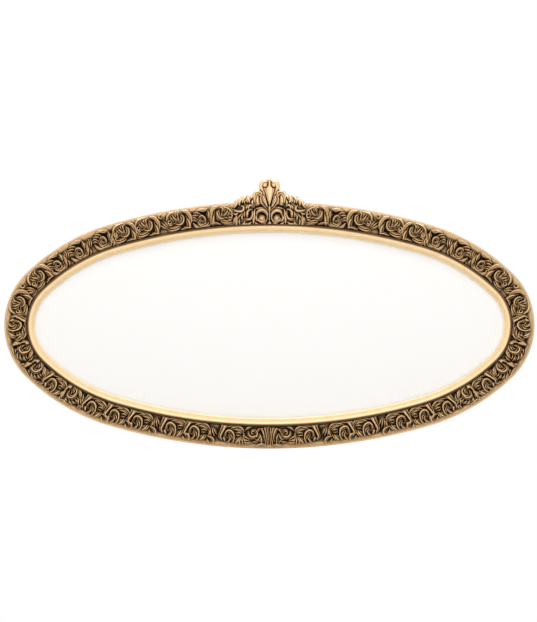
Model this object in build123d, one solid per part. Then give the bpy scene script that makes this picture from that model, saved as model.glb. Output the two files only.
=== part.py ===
from build123d import *
import math
import os

# Opening, drawn as an oval of eight tangent arcs. Angles are those of the oval's outward normal.
sight_width = 760.0
sight_height = 301.0
end_radius = 68.0
end_joint_angle = 46.0
side_joint_angle = 74.0

# Wood moulding. Offsets run outward from the sight edge, depths run forward from the wall.
moulding_width = 49.5
wall_gap = 6.0
ground_depth = 20.0
edge_round = 4.0
back_bevel = 3.5
outer_wall_foot = 11.0

# Picture package in the rebate
lip_cover = 7.5
glass_gap = 0.5
glass_thickness = 2.0
card_thickness = 2.0
board_thickness = 4.0

# Sight moulding
ring_width = 11.5
ring_lip = 2.0
cove_width = 4.2
cove_rise = 3.5
bead_step = 1.5
bead_rise = 3.5
bead_facets = 4
ring_shoulder = 25.0
fit_gap = 0.1

# Carved band
quirk_width = 2.0
rim_width = 2.5
band_edge = 2.2
band_top = 33.5
swirl_radius = 16.5
swirl_lobes = 5
swirl_twist = 18.0
horn_length = 19.0
horn_width = 8.0
horn_offset = 14.0
horn_rise = 9.0
upper_swirls = 10
lower_swirls = 11
crest_swirl_offset = 79.0
palmette_swirl_offset = 42.0
crest_half_width = 58.0
palmette_half_width = 22.0
palmette_blades = 5
palmette_blade_width = 7.5
palmette_fan = 8.0
seam_gap = 0.1

# Splines across the wood joints
spline_width = 20.0
spline_length = 24.0
spline_thickness = 4.0
spline_offset = 29.0
spline_back = 3.0
spline_play = 0.1

# Crest board and what it carries
crest_rise = 36.7
crest_board_thickness = 8.0
housing_half_width = 50.0
housing_foot_offset = 26.0
wing_tip_rise = 3.0
wing_rise = 11.0
shoulder_rise = 12.5
crest_top = 35.0
hood_offset = 19.5
hood_width = 12.0
hood_top_offset = 66.0
hood_foot_offset = 45.5
hood_wall = 3.0
neck_half_width = 14.5
volute_offset = 8.6
volute_radius = 7.4
volute_width = 3.0
volute_ball = 3.8
crest_notch = 1.6
fin_length = 15.0
fin_width = 3.6
rib_length = 16.0
rib_width = 4.0
tongue_length = 31.0
tongue_width = 17.0
tongue_tip_offset = 42.0
shell_length = 21.0
shell_width = 9.0
stem_width = 4.0
scroll_offset = 13.0
scroll_height_offset = 24.5
scroll_radius = 10.4
scroll_width = 4.2
scroll_ball = 5.0
scroll_taper = 0.45
scroll_facets = 10
side_scroll_offset = 35.0
side_scroll_radius = 6.0
leaf_fingers = 5
leaf_length = 14.0
leaf_width = 8.5
blade_length = 21.0
blade_width = 7.5

# Screws
screw_radius = 1.7
screw_head_radius = 3.4
pan_head_height = 2.0
screw_length = 10.0
shank_sides = 6
head_sides = 12
pilot_play = 0.05
crest_screw_offset = 36.0
crest_screw_spacing = 26.0

# Turn buttons
button_offset = 17.5
button_reach = 18.0
button_tail = 6.0
button_width = 8.0
button_gauge = 1.2
button_play = 0.1
button_facets = 6
button_angles = (0.0, 78.0, 90.0, 102.0, 180.0, 258.0, 270.0, 282.0)

# Strap hangers and D-rings
hanger_angle = 58.0
hanger_offset = 28.0
strap_width = 9.5
strap_length = 18.5
strap_gauge = 0.8
strap_screw_drop = 7.4
wire_radius = 1.2
loop_play = 0.08
ring_inner_width = 14.0
ring_side = 5.0
ring_corner = 2.4
ring_rest_gap = 0.15

# Bumpers
bumper_radius = 6.0
bumper_offset = 33.0
bumper_angles = (28.0, 152.0, 208.0, 332.0)

os.makedirs("parts", exist_ok=True)

# Heights that follow from the sizes above
rebate_offset = lip_cover + glass_gap
ledge_depth = wall_gap + board_thickness + card_thickness + glass_thickness
ring_seat = ring_width + fit_gap
band_inner = ring_width + quirk_width
band_outer = moulding_width - rim_width
band_middle = (band_inner + band_outer) / 2
half_width = sight_width / 2
half_height = sight_height / 2
housing_depth = ground_depth - crest_board_thickness
crest_peak = half_height + moulding_width + crest_rise
hood_top = half_height + hood_top_offset
hood_foot = half_height + hood_foot_offset

# Radii and centres of the oval's arcs, from its width, height and end radius
end_turn = math.radians(end_joint_angle)
side_turn = math.radians(side_joint_angle)
flat_x = half_width - end_radius
flat_z = half_height - end_radius
lean_end = 1 - math.sin(end_turn)
lean_side = 1 - math.sin(side_turn)
spread = math.cos(end_turn) * lean_side - math.cos(side_turn) * lean_end
shoulder_step = (flat_x * lean_side - math.cos(side_turn) * flat_z) / spread
side_step = (math.cos(end_turn) * flat_z - flat_x * lean_end) / spread
shoulder_radius = end_radius + shoulder_step
side_radius = shoulder_radius + side_step
shoulder_x = flat_x - shoulder_step * math.cos(end_turn)
shoulder_z = -shoulder_step * math.sin(end_turn)
side_z = half_height - side_radius

# Each arc: first angle, last angle, centre x, centre z, radius of the sight edge
oval_arcs = (
    (-end_joint_angle, end_joint_angle, flat_x, 0, end_radius),
    (end_joint_angle, side_joint_angle, shoulder_x, shoulder_z, shoulder_radius),
    (side_joint_angle, 180 - side_joint_angle, 0, side_z, side_radius),
    (180 - side_joint_angle, 180 - end_joint_angle, -shoulder_x, shoulder_z, shoulder_radius),
    (180 - end_joint_angle, 180 + end_joint_angle, -flat_x, 0, end_radius),
    (180 + end_joint_angle, 180 + side_joint_angle, -shoulder_x, -shoulder_z, shoulder_radius),
    (180 + side_joint_angle, 360 - side_joint_angle, 0, -side_z, side_radius),
    (360 - side_joint_angle, 360 - end_joint_angle, shoulder_x, -shoulder_z, shoulder_radius),
)


def arc_of(angle):
    turned = (angle + end_joint_angle) % 360 - end_joint_angle
    return next(arc for arc in oval_arcs if arc[0] - 1e-9 <= turned <= arc[1] + 1e-9)


def oval_point(angle, offset):
    _, _, x, z, radius = arc_of(angle)
    turn = math.radians(angle)
    return x + (radius + offset) * math.cos(turn), z + (radius + offset) * math.sin(turn)


def front_plane(x, z, depth, turn=0.0):
    """Plane that faces the front, with its X axis turned from +X towards +Z."""
    bearing = math.radians(turn)
    return Plane(origin=(x, -depth, z), x_dir=(math.cos(bearing), 0, math.sin(bearing)), z_dir=(0, -1, 0))


def station(angle, offset, depth):
    """Front plane on the moulding, with its X axis along the oval's outward normal."""
    x, z = oval_point(angle, offset)
    return front_plane(x, z, depth, angle)


def swept(section, start, stop):
    """Carry a section, drawn as offset and depth, along the oval from one angle to another."""
    pieces = []
    for first, last, x, z, radius in oval_arcs:
        for shift in (-360, 0, 360):
            low = max(start, first + shift)
            high = min(stop, last + shift)
            if high - low > 1e-6:
                turn = math.radians(low)
                across = (math.cos(turn), 0, math.sin(turn))
                along = (math.sin(turn), 0, -math.cos(turn))
                plane = Plane(origin=(x, 0, z), x_dir=across, z_dir=along)
                axis = Axis((x, 0, z), (0, -1, 0))
                pieces.append(revolve(plane * Pos(radius, 0) * section, axis, high - low))
    solid = pieces[0]
    for piece in pieces[1:]:
        solid = solid + piece
    return solid


def oval_plate(offset, back, thickness):
    edges = []
    for first, last, _, _, _ in oval_arcs:
        middle = (first + last) / 2
        edges.append(ThreePointArc(*[oval_point(angle, offset) for angle in (first, middle, last)]))
    return extrude(Plane.XZ.offset(back) * make_face(edges), thickness)


def bar(plane, radius, start, stop, sides):
    """Bar square to a plane, between two heights over it, with flats drawn round a circle."""
    return plane * Pos(0, 0, start) * extrude(RegularPolygon(radius, sides), stop - start)


def outline(points):
    return make_face(Polyline(*points, close=True))


def facet_body(levels):
    """Solid with flat facets between outlines of equal point count, each level a list of 3D points."""
    faces = [Face(Wire.make_polygon(levels[0])), Face(Wire.make_polygon(levels[-1]))]
    count = len(levels[0])
    for low, high in zip(levels, levels[1:]):
        for i in range(count):
            j = (i + 1) % count
            faces.append(Face(Wire.make_polygon([low[i], low[j], high[i]])))
            faces.append(Face(Wire.make_polygon([low[j], high[j], high[i]])))
    return Solid(Shell(faces))


def leaf(plane, length, width, rise, curl=0.0):
    """Pointed leaf along the plane's X axis, with a raised midrib that bends sideways."""
    levels = []
    for stops, share, height in (((0.0, 0.35, 0.72, 1.0), 1.0, 0.0), ((0.06, 0.35, 0.62, 0.82), 0.2, rise)):
        sides = tuple(zip(stops, (0.42, 0.5, 0.36)))
        right = [(length * s, curl * s * s - width * w * share, height) for s, w in sides]
        left = [(length * s, curl * s * s + width * w * share, height) for s, w in sides]
        tip = (length * stops[3], curl * stops[3] ** 2, height)
        levels.append(right + [tip] + left[::-1])
    return plane * facet_body(levels)


def pinwheel(radius, valley, turn, height):
    """Star outline whose points lean round one way."""
    step = 360 / swirl_lobes
    points = []
    for lobe in range(swirl_lobes):
        tip = math.radians(lobe * step + turn)
        dip = math.radians(lobe * step + turn + step * 0.7)
        points.append((radius * math.cos(tip), radius * math.sin(tip), height))
        points.append((valley * math.cos(dip), valley * math.sin(dip), height))
    return points


def swirl(plane, radius, rise, hand):
    """Carved acanthus swirl: leaf lobes that turn as they climb, with a sunk eye."""
    levels = ((1.0, 0.84, 0.0, 0.0), (0.86, 0.52, 0.62, 1.0), (0.46, 0.3, 1.0, 2.4), (0.16, 0.14, 0.6, 3.0))
    body = facet_body([
        pinwheel(radius * outer, radius * inner, swirl_twist * turns, rise * height)
        for outer, inner, height, turns in levels
    ])
    if hand < 0:
        body = mirror(body, Plane.XZ)
    return plane * body


def scroll(plane, radius, width, rise, start, sweep, ball):
    """C-scroll cut in flat bevels, whose ribbon swells in the middle of its sweep, round a faceted ball."""
    rings = []
    for i in range(scroll_facets + 1):
        share = i / scroll_facets
        turn = math.radians(start + sweep * share)
        wide = width * (scroll_taper + (1 - scroll_taper) * math.sin(math.pi * share))
        section = ((0.0, 0.0), (wide * 0.3, rise), (wide * 0.7, rise), (wide, 0.0))
        rings.append([((radius - r) * math.cos(turn), (radius - r) * math.sin(turn), z) for r, z in section])
    bead = []
    for share, height in ((1.0, 0.0), (0.9, rise * 0.6), (0.45, rise)):
        turns = [2 * math.pi * i / scroll_facets for i in range(scroll_facets)]
        bead.append([(ball * share * math.cos(t), ball * share * math.sin(t), height) for t in turns])
    floor = extrude(RegularPolygon(radius - width * 0.4, scroll_facets), rise * 0.3)
    return plane * (floor + facet_body(rings) + facet_body(bead))


def arc_length(angle):
    """Length along the middle of the band from the end axis to an angle of the first quarter."""
    total = 0.0
    for first, last, _, _, radius in oval_arcs[:3]:
        span = min(angle, last) - max(0.0, first)
        if span > 0:
            total += (radius + band_middle) * math.radians(span)
    return total


def angle_at(length):
    """Angle of the first quarter at a length along the middle of the band."""
    for first, last, _, _, radius in oval_arcs[:3]:
        start = max(0.0, first)
        span = (radius + band_middle) * math.radians(last - start)
        if length <= span + 1e-9:
            return start + math.degrees(length / (radius + band_middle))
        length -= span
    return 90.0


nodes = {}

# Places along each quarter: swirl angles from the end axis, and the gaps between them
quarter = arc_length(90.0)
upper_pitch = (quarter - crest_swirl_offset) / upper_swirls
lower_pitch = (quarter - palmette_swirl_offset) / lower_swirls
upper_angles = [angle_at(upper_pitch * i) for i in range(upper_swirls + 1)]
lower_angles = [angle_at(lower_pitch * i) for i in range(lower_swirls + 1)]
crest_end = 90 - math.degrees(crest_half_width / (side_radius + band_middle))
palmette_end = 90 - math.degrees(palmette_half_width / (side_radius + band_middle))

# Wood base lengths
soft = edge_round * (1 - math.sqrt(0.5))
base_section = outline([
    (moulding_width, ground_depth - edge_round),
    (moulding_width, outer_wall_foot),
    (moulding_width - back_bevel, wall_gap),
    (rebate_offset, wall_gap),
    (rebate_offset, ledge_depth),
    (ring_seat, ledge_depth),
    (ring_seat, ground_depth),
    (moulding_width - edge_round, ground_depth),
    (moulding_width - soft, ground_depth - soft),
])
segment_names = (
    "right", "upper_right", "top", "upper_left", "left", "lower_left", "bottom", "lower_right",
)
spline_depth = wall_gap + spline_back + spline_thickness / 2
joint_angles = [arc[1] for arc in oval_arcs]
splines = []
spline_slots = []
for angle in joint_angles:
    seat = station(angle, spline_offset, spline_depth)
    splines.append(seat * Box(spline_width, spline_length, spline_thickness))
    play = 2 * spline_play
    spline_slots.append(seat * Box(spline_width + play, spline_length + play, spline_thickness + play))
nodes["joint_splines"] = Compound(splines)

# Screw places on the back
button_seats = [station(angle, button_offset, wall_gap) for angle in button_angles]
hanger_places = []
for side in (1, -1):
    angle = hanger_angle if side > 0 else 180 - hanger_angle
    x, z = oval_point(angle, hanger_offset)
    hanger_places.append(Plane(origin=(x, -wall_gap, z), x_dir=(1, 0, 0), z_dir=(0, 1, 0)))
crest_screw_places = []
for step in (-1.5, -0.5, 0.5, 1.5):
    angle = 90 - math.degrees(step * crest_screw_spacing / (side_radius + crest_screw_offset))
    crest_screw_places.append(station(angle, crest_screw_offset, wall_gap))

# Crest board: a plate with the crest's outline, let into the front of the top length
outer_radius = side_radius + moulding_width
wing_edge = side_z + math.sqrt(outer_radius**2 - housing_half_width**2)
foot = half_height + housing_foot_offset
volute_height = crest_peak - volute_radius
hood_radius = hood_width / 2
hood_inner = hood_offset - hood_radius
hood_outer = hood_offset + hood_radius
wing_middle = (hood_outer + housing_half_width) / 2


def crest_outline(grow):
    """Face of the crest board, with its housed edges moved out by a clearance."""
    reach = housing_half_width + grow
    right = [
        (reach, foot - grow),
        (reach, wing_edge + wing_tip_rise),
        (wing_middle, wing_edge + wing_rise),
        (hood_outer, wing_edge + shoulder_rise),
    ]
    left = [(-x, z) for x, z in reversed(right)]
    neck = [
        (neck_half_width, wing_edge),
        (neck_half_width, volute_height),
        (volute_offset, crest_peak - crest_notch),
        (-volute_offset, crest_peak - crest_notch),
        (-neck_half_width, volute_height),
        (-neck_half_width, wing_edge),
    ]
    shape = outline(right + left) + outline(neck)
    for side in (1, -1):
        shape += Pos(side * hood_offset, hood_top - hood_radius) * Circle(hood_radius)
        shape += Pos(side * volute_offset, volute_height) * Circle(volute_radius)
    return shape


crest_board = extrude(Plane.XZ.offset(housing_depth) * crest_outline(0.0), crest_board_thickness)
housing = extrude(Plane.XZ.offset(housing_depth) * crest_outline(fit_gap), crest_board_thickness + 1)
crest_screws = []
crest_bores = []
crest_reach = housing_depth - wall_gap + screw_length / 2
for seat in crest_screw_places:
    head = bar(seat, screw_head_radius, 0, pan_head_height, head_sides)
    crest_screws.append(head + bar(seat, screw_radius, pan_head_height, crest_reach, shank_sides))
    bore = bar(seat, screw_head_radius + pilot_play, 0, pan_head_height, head_sides)
    pilot = bar(seat, screw_radius + pilot_play, pan_head_height, crest_reach + pilot_play, shank_sides)
    crest_bores.append(bore + pilot)
nodes["crest_board"] = crest_board - crest_bores
nodes["crest_screws"] = Compound(crest_screws)

# Pilot holes for the screws that go straight into the wood
pilot_radius = screw_radius + pilot_play
pilot_depth = screw_length + pilot_play
button_pilots = [bar(seat, pilot_radius, 0, pilot_depth, shank_sides) for seat in button_seats]
hanger_pilots = []
for place in hanger_places:
    seat = place * Pos(0, strap_screw_drop, 0)
    hanger_pilots.append(bar(seat, pilot_radius, -pilot_depth, 0, shank_sides))

for index, name in enumerate(segment_names):
    first, last, _, _, _ = oval_arcs[index]
    cuts = [spline_slots[index], spline_slots[index - 1]]
    for angle, pilot in zip(button_angles, button_pilots):
        if first <= angle <= last:
            cuts.append(pilot)
    if name == "top":
        cuts += [housing] + crest_bores
    if name == "upper_right":
        cuts.append(hanger_pilots[0])
    if name == "upper_left":
        cuts.append(hanger_pilots[1])
    nodes["frame_segment_" + name] = swept(base_section, first, last) - cuts

# Sight moulding: a lip over the glass, a narrow cove, a step and a half-round bead
cove_top = ledge_depth + ring_lip + cove_rise
bead_foot = cove_top + bead_step
bead_middle = (cove_width + ring_width) / 2
bead_half = (ring_width - cove_width) / 2
bead = []
for step in range(1, bead_facets):
    turn = math.pi * step / bead_facets
    slope = bead_foot + (ring_shoulder - bead_foot) * (1 - math.cos(turn)) / 2
    bead.append((bead_middle - bead_half * math.cos(turn), slope + bead_rise * math.sin(turn)))
ring_section = outline([
    (ring_width, ledge_depth),
    (0, ledge_depth),
    (0, ledge_depth + ring_lip),
    (cove_width, cove_top),
    (cove_width, bead_foot),
] + bead + [(ring_width, ring_shoulder)])
nodes["sight_moulding"] = swept(ring_section, -end_joint_angle, 360 - end_joint_angle)

# Carved bands: a low cushion with a run of swirls, in ten lengths
band_section = outline([
    (band_inner, ground_depth),
    (band_outer, ground_depth),
    (band_outer, ground_depth + band_edge),
    (band_inner, ground_depth + band_edge),
])


def between(angles, index):
    return (angles[index] + angles[index + 1]) / 2


upper_first = between(upper_angles, 2)
upper_second = between(upper_angles, 6)
lower_first = between(lower_angles, 2)
lower_second = between(lower_angles, 6)
seam = math.degrees(seam_gap / (side_radius + band_middle)) / 2
band_lengths = (
    ("upper", upper_first, upper_second, upper_angles[3:7]),
    ("top", upper_second, crest_end, upper_angles[7:]),
    ("lower", -lower_second, -lower_first, [-angle for angle in lower_angles[3:7]]),
    ("bottom", -palmette_end, -lower_second, [-angle for angle in lower_angles[7:]]),
    ("end", -lower_first, upper_first, upper_angles[:3] + [-angle for angle in lower_angles[1:3]]),
)
swirl_foot = ground_depth + band_edge
for name, start, stop, angles in band_lengths:
    band = swept(band_section, start + seam, stop - seam)
    carving = []
    for angle in angles:
        hand = 1 if angle >= 0 else -1
        seat = station(angle, band_middle, swirl_foot)
        carving.append(swirl(seat, swirl_radius, band_top - swirl_foot, hand))
        horn = seat * Pos(horn_length - swirl_radius, hand * horn_offset, 0) * Rot(0, 0, 180)
        carving.append(leaf(horn, horn_length, horn_width, horn_rise, -hand * horn_width / 4))
    band = band + carving
    prefix = "carved_band_" if name == "end" else "carved_band_" + name + "_"
    nodes[prefix + "right"] = band
    nodes[prefix + "left"] = mirror(band, Plane.YZ)

# Palmette at the bottom centre: fluted leaves that fan out from the outer edge
palmette = swept(band_section, 180 + palmette_end + seam, 360 - palmette_end - seam)
middle_blade = (palmette_blades - 1) / 2
for blade in range(palmette_blades):
    step = blade - middle_blade
    root_x, root_z = oval_point(270, band_outer - rim_width)
    fan = 90 - step * palmette_fan * 1.5
    seat = front_plane(root_x + step * palmette_blade_width * 0.5, root_z, swirl_foot, fan)
    size = band_outer - band_inner - 2 * rim_width - abs(step) * rim_width
    palmette += leaf(seat, size, palmette_blade_width, band_top - swirl_foot)
nodes["bottom_palmette"] = palmette

# Crest cartouche: a tongue between two shells, under hoods and a pair of volutes
crest_relief = crest_top - ground_depth
tip_height = half_height + tongue_tip_offset
shield_foot = tip_height - stem_width
arch_height = hood_top - hood_radius
shield_half = [
    (0, shield_foot),
    (hood_inner * 0.7, shield_foot + stem_width),
    (hood_inner, hood_foot),
    (hood_outer, hood_foot),
    (hood_outer, arch_height),
    (neck_half_width, arch_height),
    (neck_half_width, volute_height),
    (volute_offset, crest_peak - crest_notch),
]
shield = outline(shield_half + [(-x, z) for x, z in reversed(shield_half[1:])])
for side in (1, -1):
    shield += Pos(side * hood_offset, arch_height) * Circle(hood_radius)
cartouche = extrude(Plane.XZ.offset(ground_depth) * shield, band_edge)
tongue_seat = front_plane(0, tip_height + tongue_length, ground_depth, -90)
cartouche += leaf(tongue_seat, tongue_length, tongue_width, crest_relief)
fin_seat = front_plane(0, crest_peak - crest_notch - fin_length, ground_depth, 90)
cartouche += leaf(fin_seat, fin_length, fin_width, crest_relief * 0.85)
stem_length = shield_foot + stem_width / 2 - half_height - band_inner - fit_gap
stem_seat = front_plane(0, shield_foot + stem_width / 2, ground_depth, -90)
cartouche += leaf(stem_seat, stem_length, stem_width, crest_relief / 2)
for side in (1, -1):
    volute = front_plane(side * volute_offset, volute_height, ground_depth, 90)
    start = -150 if side > 0 else -90
    cartouche += scroll(volute, volute_radius, volute_width, crest_relief * 0.9, start, 240, volute_ball)
    neck_rib = front_plane(side * neck_half_width * 0.92, volute_height, ground_depth, -90 - side * 18)
    cartouche += leaf(neck_rib, rib_length, rib_width, crest_relief * 0.7, -side * rib_width / 2)
    arch = front_plane(side * hood_offset, arch_height, ground_depth, 90)
    start = -100 if side > 0 else -120
    cartouche += scroll(arch, hood_radius, hood_wall, crest_relief * 0.8, start, 220, hood_wall / 2)
    leg = front_plane(side * (hood_outer - hood_wall / 2), arch_height + hood_wall, ground_depth, -90)
    cartouche += leaf(leg, hood_top - hood_foot - hood_wall, hood_wall, crest_relief * 0.7)
    flap = front_plane(side * hood_offset, arch_height + hood_wall / 2, ground_depth, -90)
    cartouche += leaf(flap, arch_height - hood_foot, hood_width * 0.6, crest_relief * 0.6)
    shell_root = shield_foot + shell_length + hood_wall / 2
    shell = front_plane(side * hood_inner * 0.66, shell_root, ground_depth, -90 - side * 12)
    cartouche += leaf(shell, shell_length, shell_width, crest_relief * 0.65)
    rim = front_plane(side * hood_inner * 0.85, shell_root, ground_depth, -90 + side * 4)
    cartouche += leaf(rim, shell_length * 1.1, rib_width, crest_relief * 0.8, -side * hood_inner * 0.7)
nodes["crest_cartouche"] = cartouche

# Crest C-scrolls beside the stem, and the leaf sprays on its shoulders
scroll_z = half_height + scroll_height_offset
spray_start = 90 - math.degrees((hood_outer + 3 * fit_gap) / (side_radius + band_middle))
wing_pad = outline([
    (hood_outer + 3 * fit_gap, wing_edge - rim_width * 2),
    (housing_half_width, wing_edge - rim_width * 2),
    (housing_half_width, wing_edge + wing_tip_rise),
    (wing_middle, wing_edge + wing_rise),
    (hood_outer + 3 * fit_gap, wing_edge + shoulder_rise),
])
curl = front_plane(scroll_offset, scroll_z, ground_depth, 90)
crest_scroll = scroll(curl, scroll_radius, scroll_width, crest_relief * 0.9, -120, 270, scroll_ball)
spray = swept(band_section, crest_end + seam, spray_start)
spray += extrude(Plane.XZ.offset(ground_depth) * wing_pad, band_edge)
hook = front_plane(housing_half_width - scroll_width, wing_edge - side_scroll_radius, ground_depth, 90)
spray += scroll(hook, side_scroll_radius, scroll_width, crest_relief * 0.7, -30, 230, volute_ball / 2)
for finger in range(leaf_fingers):
    share = finger / (leaf_fingers - 1)
    x = hood_outer + leaf_width * 0.63 + share * (housing_half_width - hood_outer - leaf_width * 0.45)
    z = wing_edge + shoulder_rise - (shoulder_rise - wing_tip_rise) * share**2
    seat = front_plane(x, z, ground_depth, -95 + 30 * share)
    finger_length = leaf_length * (1 - 0.25 * share)
    spray += leaf(seat, finger_length, leaf_width, crest_relief * (0.85 - 0.2 * share), -leaf_width / 5)
for x, share in ((hood_outer + blade_width * 0.45, 1.0), (side_scroll_offset, 0.75)):
    seat = front_plane(x, scroll_z + scroll_radius, ground_depth, -86)
    spray += leaf(seat, blade_length * share, blade_width, crest_relief * 0.75, blade_width / 4)
for blade in range(3):
    x = side_scroll_offset + blade_width * (0.7 + 0.6 * blade)
    seat = front_plane(x, scroll_z + scroll_width - blade, ground_depth, -70)
    spray += leaf(seat, blade_length * 0.68, blade_width * 0.8, crest_relief * 0.7, -blade_width / 4)
nodes["crest_scroll_right"] = crest_scroll
nodes["crest_scroll_left"] = mirror(crest_scroll, Plane.YZ)
nodes["crest_leaves_right"] = spray
nodes["crest_leaves_left"] = mirror(spray, Plane.YZ)

# Picture package
nodes["backing_board"] = oval_plate(lip_cover, wall_gap, board_thickness)
nodes["mount_card"] = oval_plate(lip_cover, wall_gap + board_thickness, card_thickness)
nodes["glass_pane"] = oval_plate(lip_cover, ledge_depth - glass_thickness, glass_thickness)

# Turn buttons and their screws
button_half = button_width / 2
button_points = []
for middle, start in ((button_tail - button_half, -90), (button_half - button_reach, 90)):
    for step in range(button_facets + 1):
        turn = math.radians(start + 180 * step / button_facets)
        button_points.append((middle + button_half * math.cos(turn), button_half * math.sin(turn)))
button_hole = RegularPolygon(screw_radius + button_play, head_sides, major_radius=False)
button_shape = outline(button_points) - button_hole
button_screws = []
for number, seat in enumerate(button_seats, 1):
    back = seat * Pos(0, 0, -button_play - button_gauge)
    nodes["turn_button_" + str(number)] = extrude(back * button_shape, button_gauge)
    head_seat = -2 * button_play - button_gauge
    head = bar(seat, screw_head_radius, head_seat - pan_head_height, head_seat, head_sides)
    button_screws.append(head + bar(seat, screw_radius, head_seat, screw_length, shank_sides))
nodes["turn_button_screws"] = Compound(button_screws)

# Strap hangers, their screws and D-rings
bore_radius = wire_radius + loop_play
loop_radius = bore_radius + strap_gauge
strap_thickness = 2 * strap_gauge
ring_half = ring_inner_width / 2 + wire_radius
ring_drop = ring_side + ring_half
ring_lift = strap_thickness + ring_rest_gap + wire_radius - loop_radius
ring_tilt = math.degrees(math.asin(ring_lift / ring_drop))
wire_half = wire_radius * math.sqrt(0.5)


def ring_outline(grow):
    """D outline at a distance outside the wire's middle line."""
    half = ring_half + grow
    corner = ring_corner + grow
    bite = corner * (1 - math.sqrt(0.5))
    return make_face([
        Line((half, corner - grow), (half, ring_side)),
        ThreePointArc((half, ring_side), (0, ring_side + half), (-half, ring_side)),
        Line((-half, ring_side), (-half, corner - grow)),
        ThreePointArc((-half, corner - grow), (bite - half, bite - grow), (corner - half, -grow)),
        Line((corner - half, -grow), (half - corner, -grow)),
        ThreePointArc((half - corner, -grow), (half - bite, bite - grow), (half, corner - grow)),
    ])


ring_shape = ring_outline(wire_half) - ring_outline(-wire_half)
ring_body = Pos(0, 0, -wire_half) * extrude(ring_shape, 2 * wire_half)
ring_body = Pos(0, 0, loop_radius) * Rot(ring_tilt, 0, 0) * ring_body
across = Rot(0, 90, 0)
strap_body = Pos(0, strap_length / 2, strap_thickness / 2) * Box(strap_width, strap_length, strap_thickness)
strap_body += Pos(0, 0, loop_radius) * across * Cylinder(loop_radius, strap_width)
strap_body -= Pos(0, 0, loop_radius) * across * Cylinder(bore_radius, strap_width)
strap_drop = Plane.XY * Pos(0, strap_screw_drop, 0)
strap_body -= bar(strap_drop, screw_head_radius + fit_gap, strap_gauge, strap_thickness, head_sides)
strap_body -= bar(strap_drop, screw_radius + fit_gap, 0, strap_gauge, shank_sides)
strap_screw = bar(strap_drop, screw_head_radius, strap_gauge, strap_thickness, head_sides)
strap_screw += bar(strap_drop, screw_radius, -screw_length, strap_gauge, shank_sides)
for name, place in zip(("right", "left"), hanger_places):
    nodes["hanger_strap_" + name] = place * strap_body
    nodes["hanger_ring_" + name] = place * ring_body
nodes["hanger_screws"] = Compound([place * strap_screw for place in hanger_places])

# Rubber bumpers between the back and the wall
bumpers = []
for angle in bumper_angles:
    seat = station(angle, bumper_offset, wall_gap)
    bumpers.append(bar(seat, bumper_radius, -wall_gap, 0, head_sides))
nodes["wall_bumpers"] = Compound(bumpers)

for name, shape in nodes.items():
    export_step(shape, "parts/" + name + ".step")
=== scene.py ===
import bpy
import math
import numpy as np
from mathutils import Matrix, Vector


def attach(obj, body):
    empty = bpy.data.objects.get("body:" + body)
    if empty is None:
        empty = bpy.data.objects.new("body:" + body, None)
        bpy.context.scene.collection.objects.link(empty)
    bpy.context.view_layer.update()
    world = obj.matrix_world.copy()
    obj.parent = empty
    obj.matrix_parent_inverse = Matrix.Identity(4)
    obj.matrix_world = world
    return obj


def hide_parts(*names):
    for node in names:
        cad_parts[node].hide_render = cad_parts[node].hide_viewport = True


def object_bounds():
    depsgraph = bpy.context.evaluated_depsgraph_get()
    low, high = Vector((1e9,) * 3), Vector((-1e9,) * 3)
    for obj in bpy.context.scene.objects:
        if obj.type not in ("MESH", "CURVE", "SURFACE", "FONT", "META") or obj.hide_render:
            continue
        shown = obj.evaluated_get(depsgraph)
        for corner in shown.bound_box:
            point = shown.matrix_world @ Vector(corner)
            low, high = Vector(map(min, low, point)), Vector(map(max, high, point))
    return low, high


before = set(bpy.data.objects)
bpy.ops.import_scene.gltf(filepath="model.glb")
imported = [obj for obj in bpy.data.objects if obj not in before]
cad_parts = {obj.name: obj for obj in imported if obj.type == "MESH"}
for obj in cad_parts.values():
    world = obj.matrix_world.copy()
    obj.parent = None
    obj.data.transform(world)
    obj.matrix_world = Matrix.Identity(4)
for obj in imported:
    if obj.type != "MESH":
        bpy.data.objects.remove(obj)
cadLow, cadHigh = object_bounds()
mm = 0.001
print("frame loaded:", len(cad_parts), "nodes")


# Oval of eight tangent arcs, the same one the wood is cut to
oval = {
    "width": 760.0, "height": 301.0,         # opening, mm
    "endRadius": 68.0,
    "endJoint": 46.0, "sideJoint": 74.0,     # bearings where the arcs meet
    "bandMiddle": 30.25,                     # offset of the line that lengths are measured on
}


def ovalArcs():
    # a quarter of the oval: first and last bearing, centre and radius of each arc
    halfWidth, halfHeight, radius = oval["width"] / 2, oval["height"] / 2, oval["endRadius"]
    endTurn, sideTurn = math.radians(oval["endJoint"]), math.radians(oval["sideJoint"])
    flatX, flatZ = halfWidth - radius, halfHeight - radius
    leanEnd, leanSide = 1 - math.sin(endTurn), 1 - math.sin(sideTurn)
    spread = math.cos(endTurn) * leanSide - math.cos(sideTurn) * leanEnd
    shoulderStep = (flatX * leanSide - math.cos(sideTurn) * flatZ) / spread
    sideStep = (math.cos(endTurn) * flatZ - flatX * leanEnd) / spread
    shoulder = radius + shoulderStep
    side = shoulder + sideStep
    return [
        (0.0, oval["endJoint"], flatX, 0.0, radius),
        (oval["endJoint"], oval["sideJoint"], flatX - shoulderStep * math.cos(endTurn),
         -shoulderStep * math.sin(endTurn), shoulder),
        (oval["sideJoint"], 90.0, 0.0, halfHeight - side, side),
    ]


arcs = ovalArcs()
arcLengths = [(a[4] + oval["bandMiddle"]) * math.radians(a[1] - a[0]) for a in arcs]
quarterLength = sum(arcLengths)
sideCentre, sideRadius = arcs[2][3:]


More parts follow.
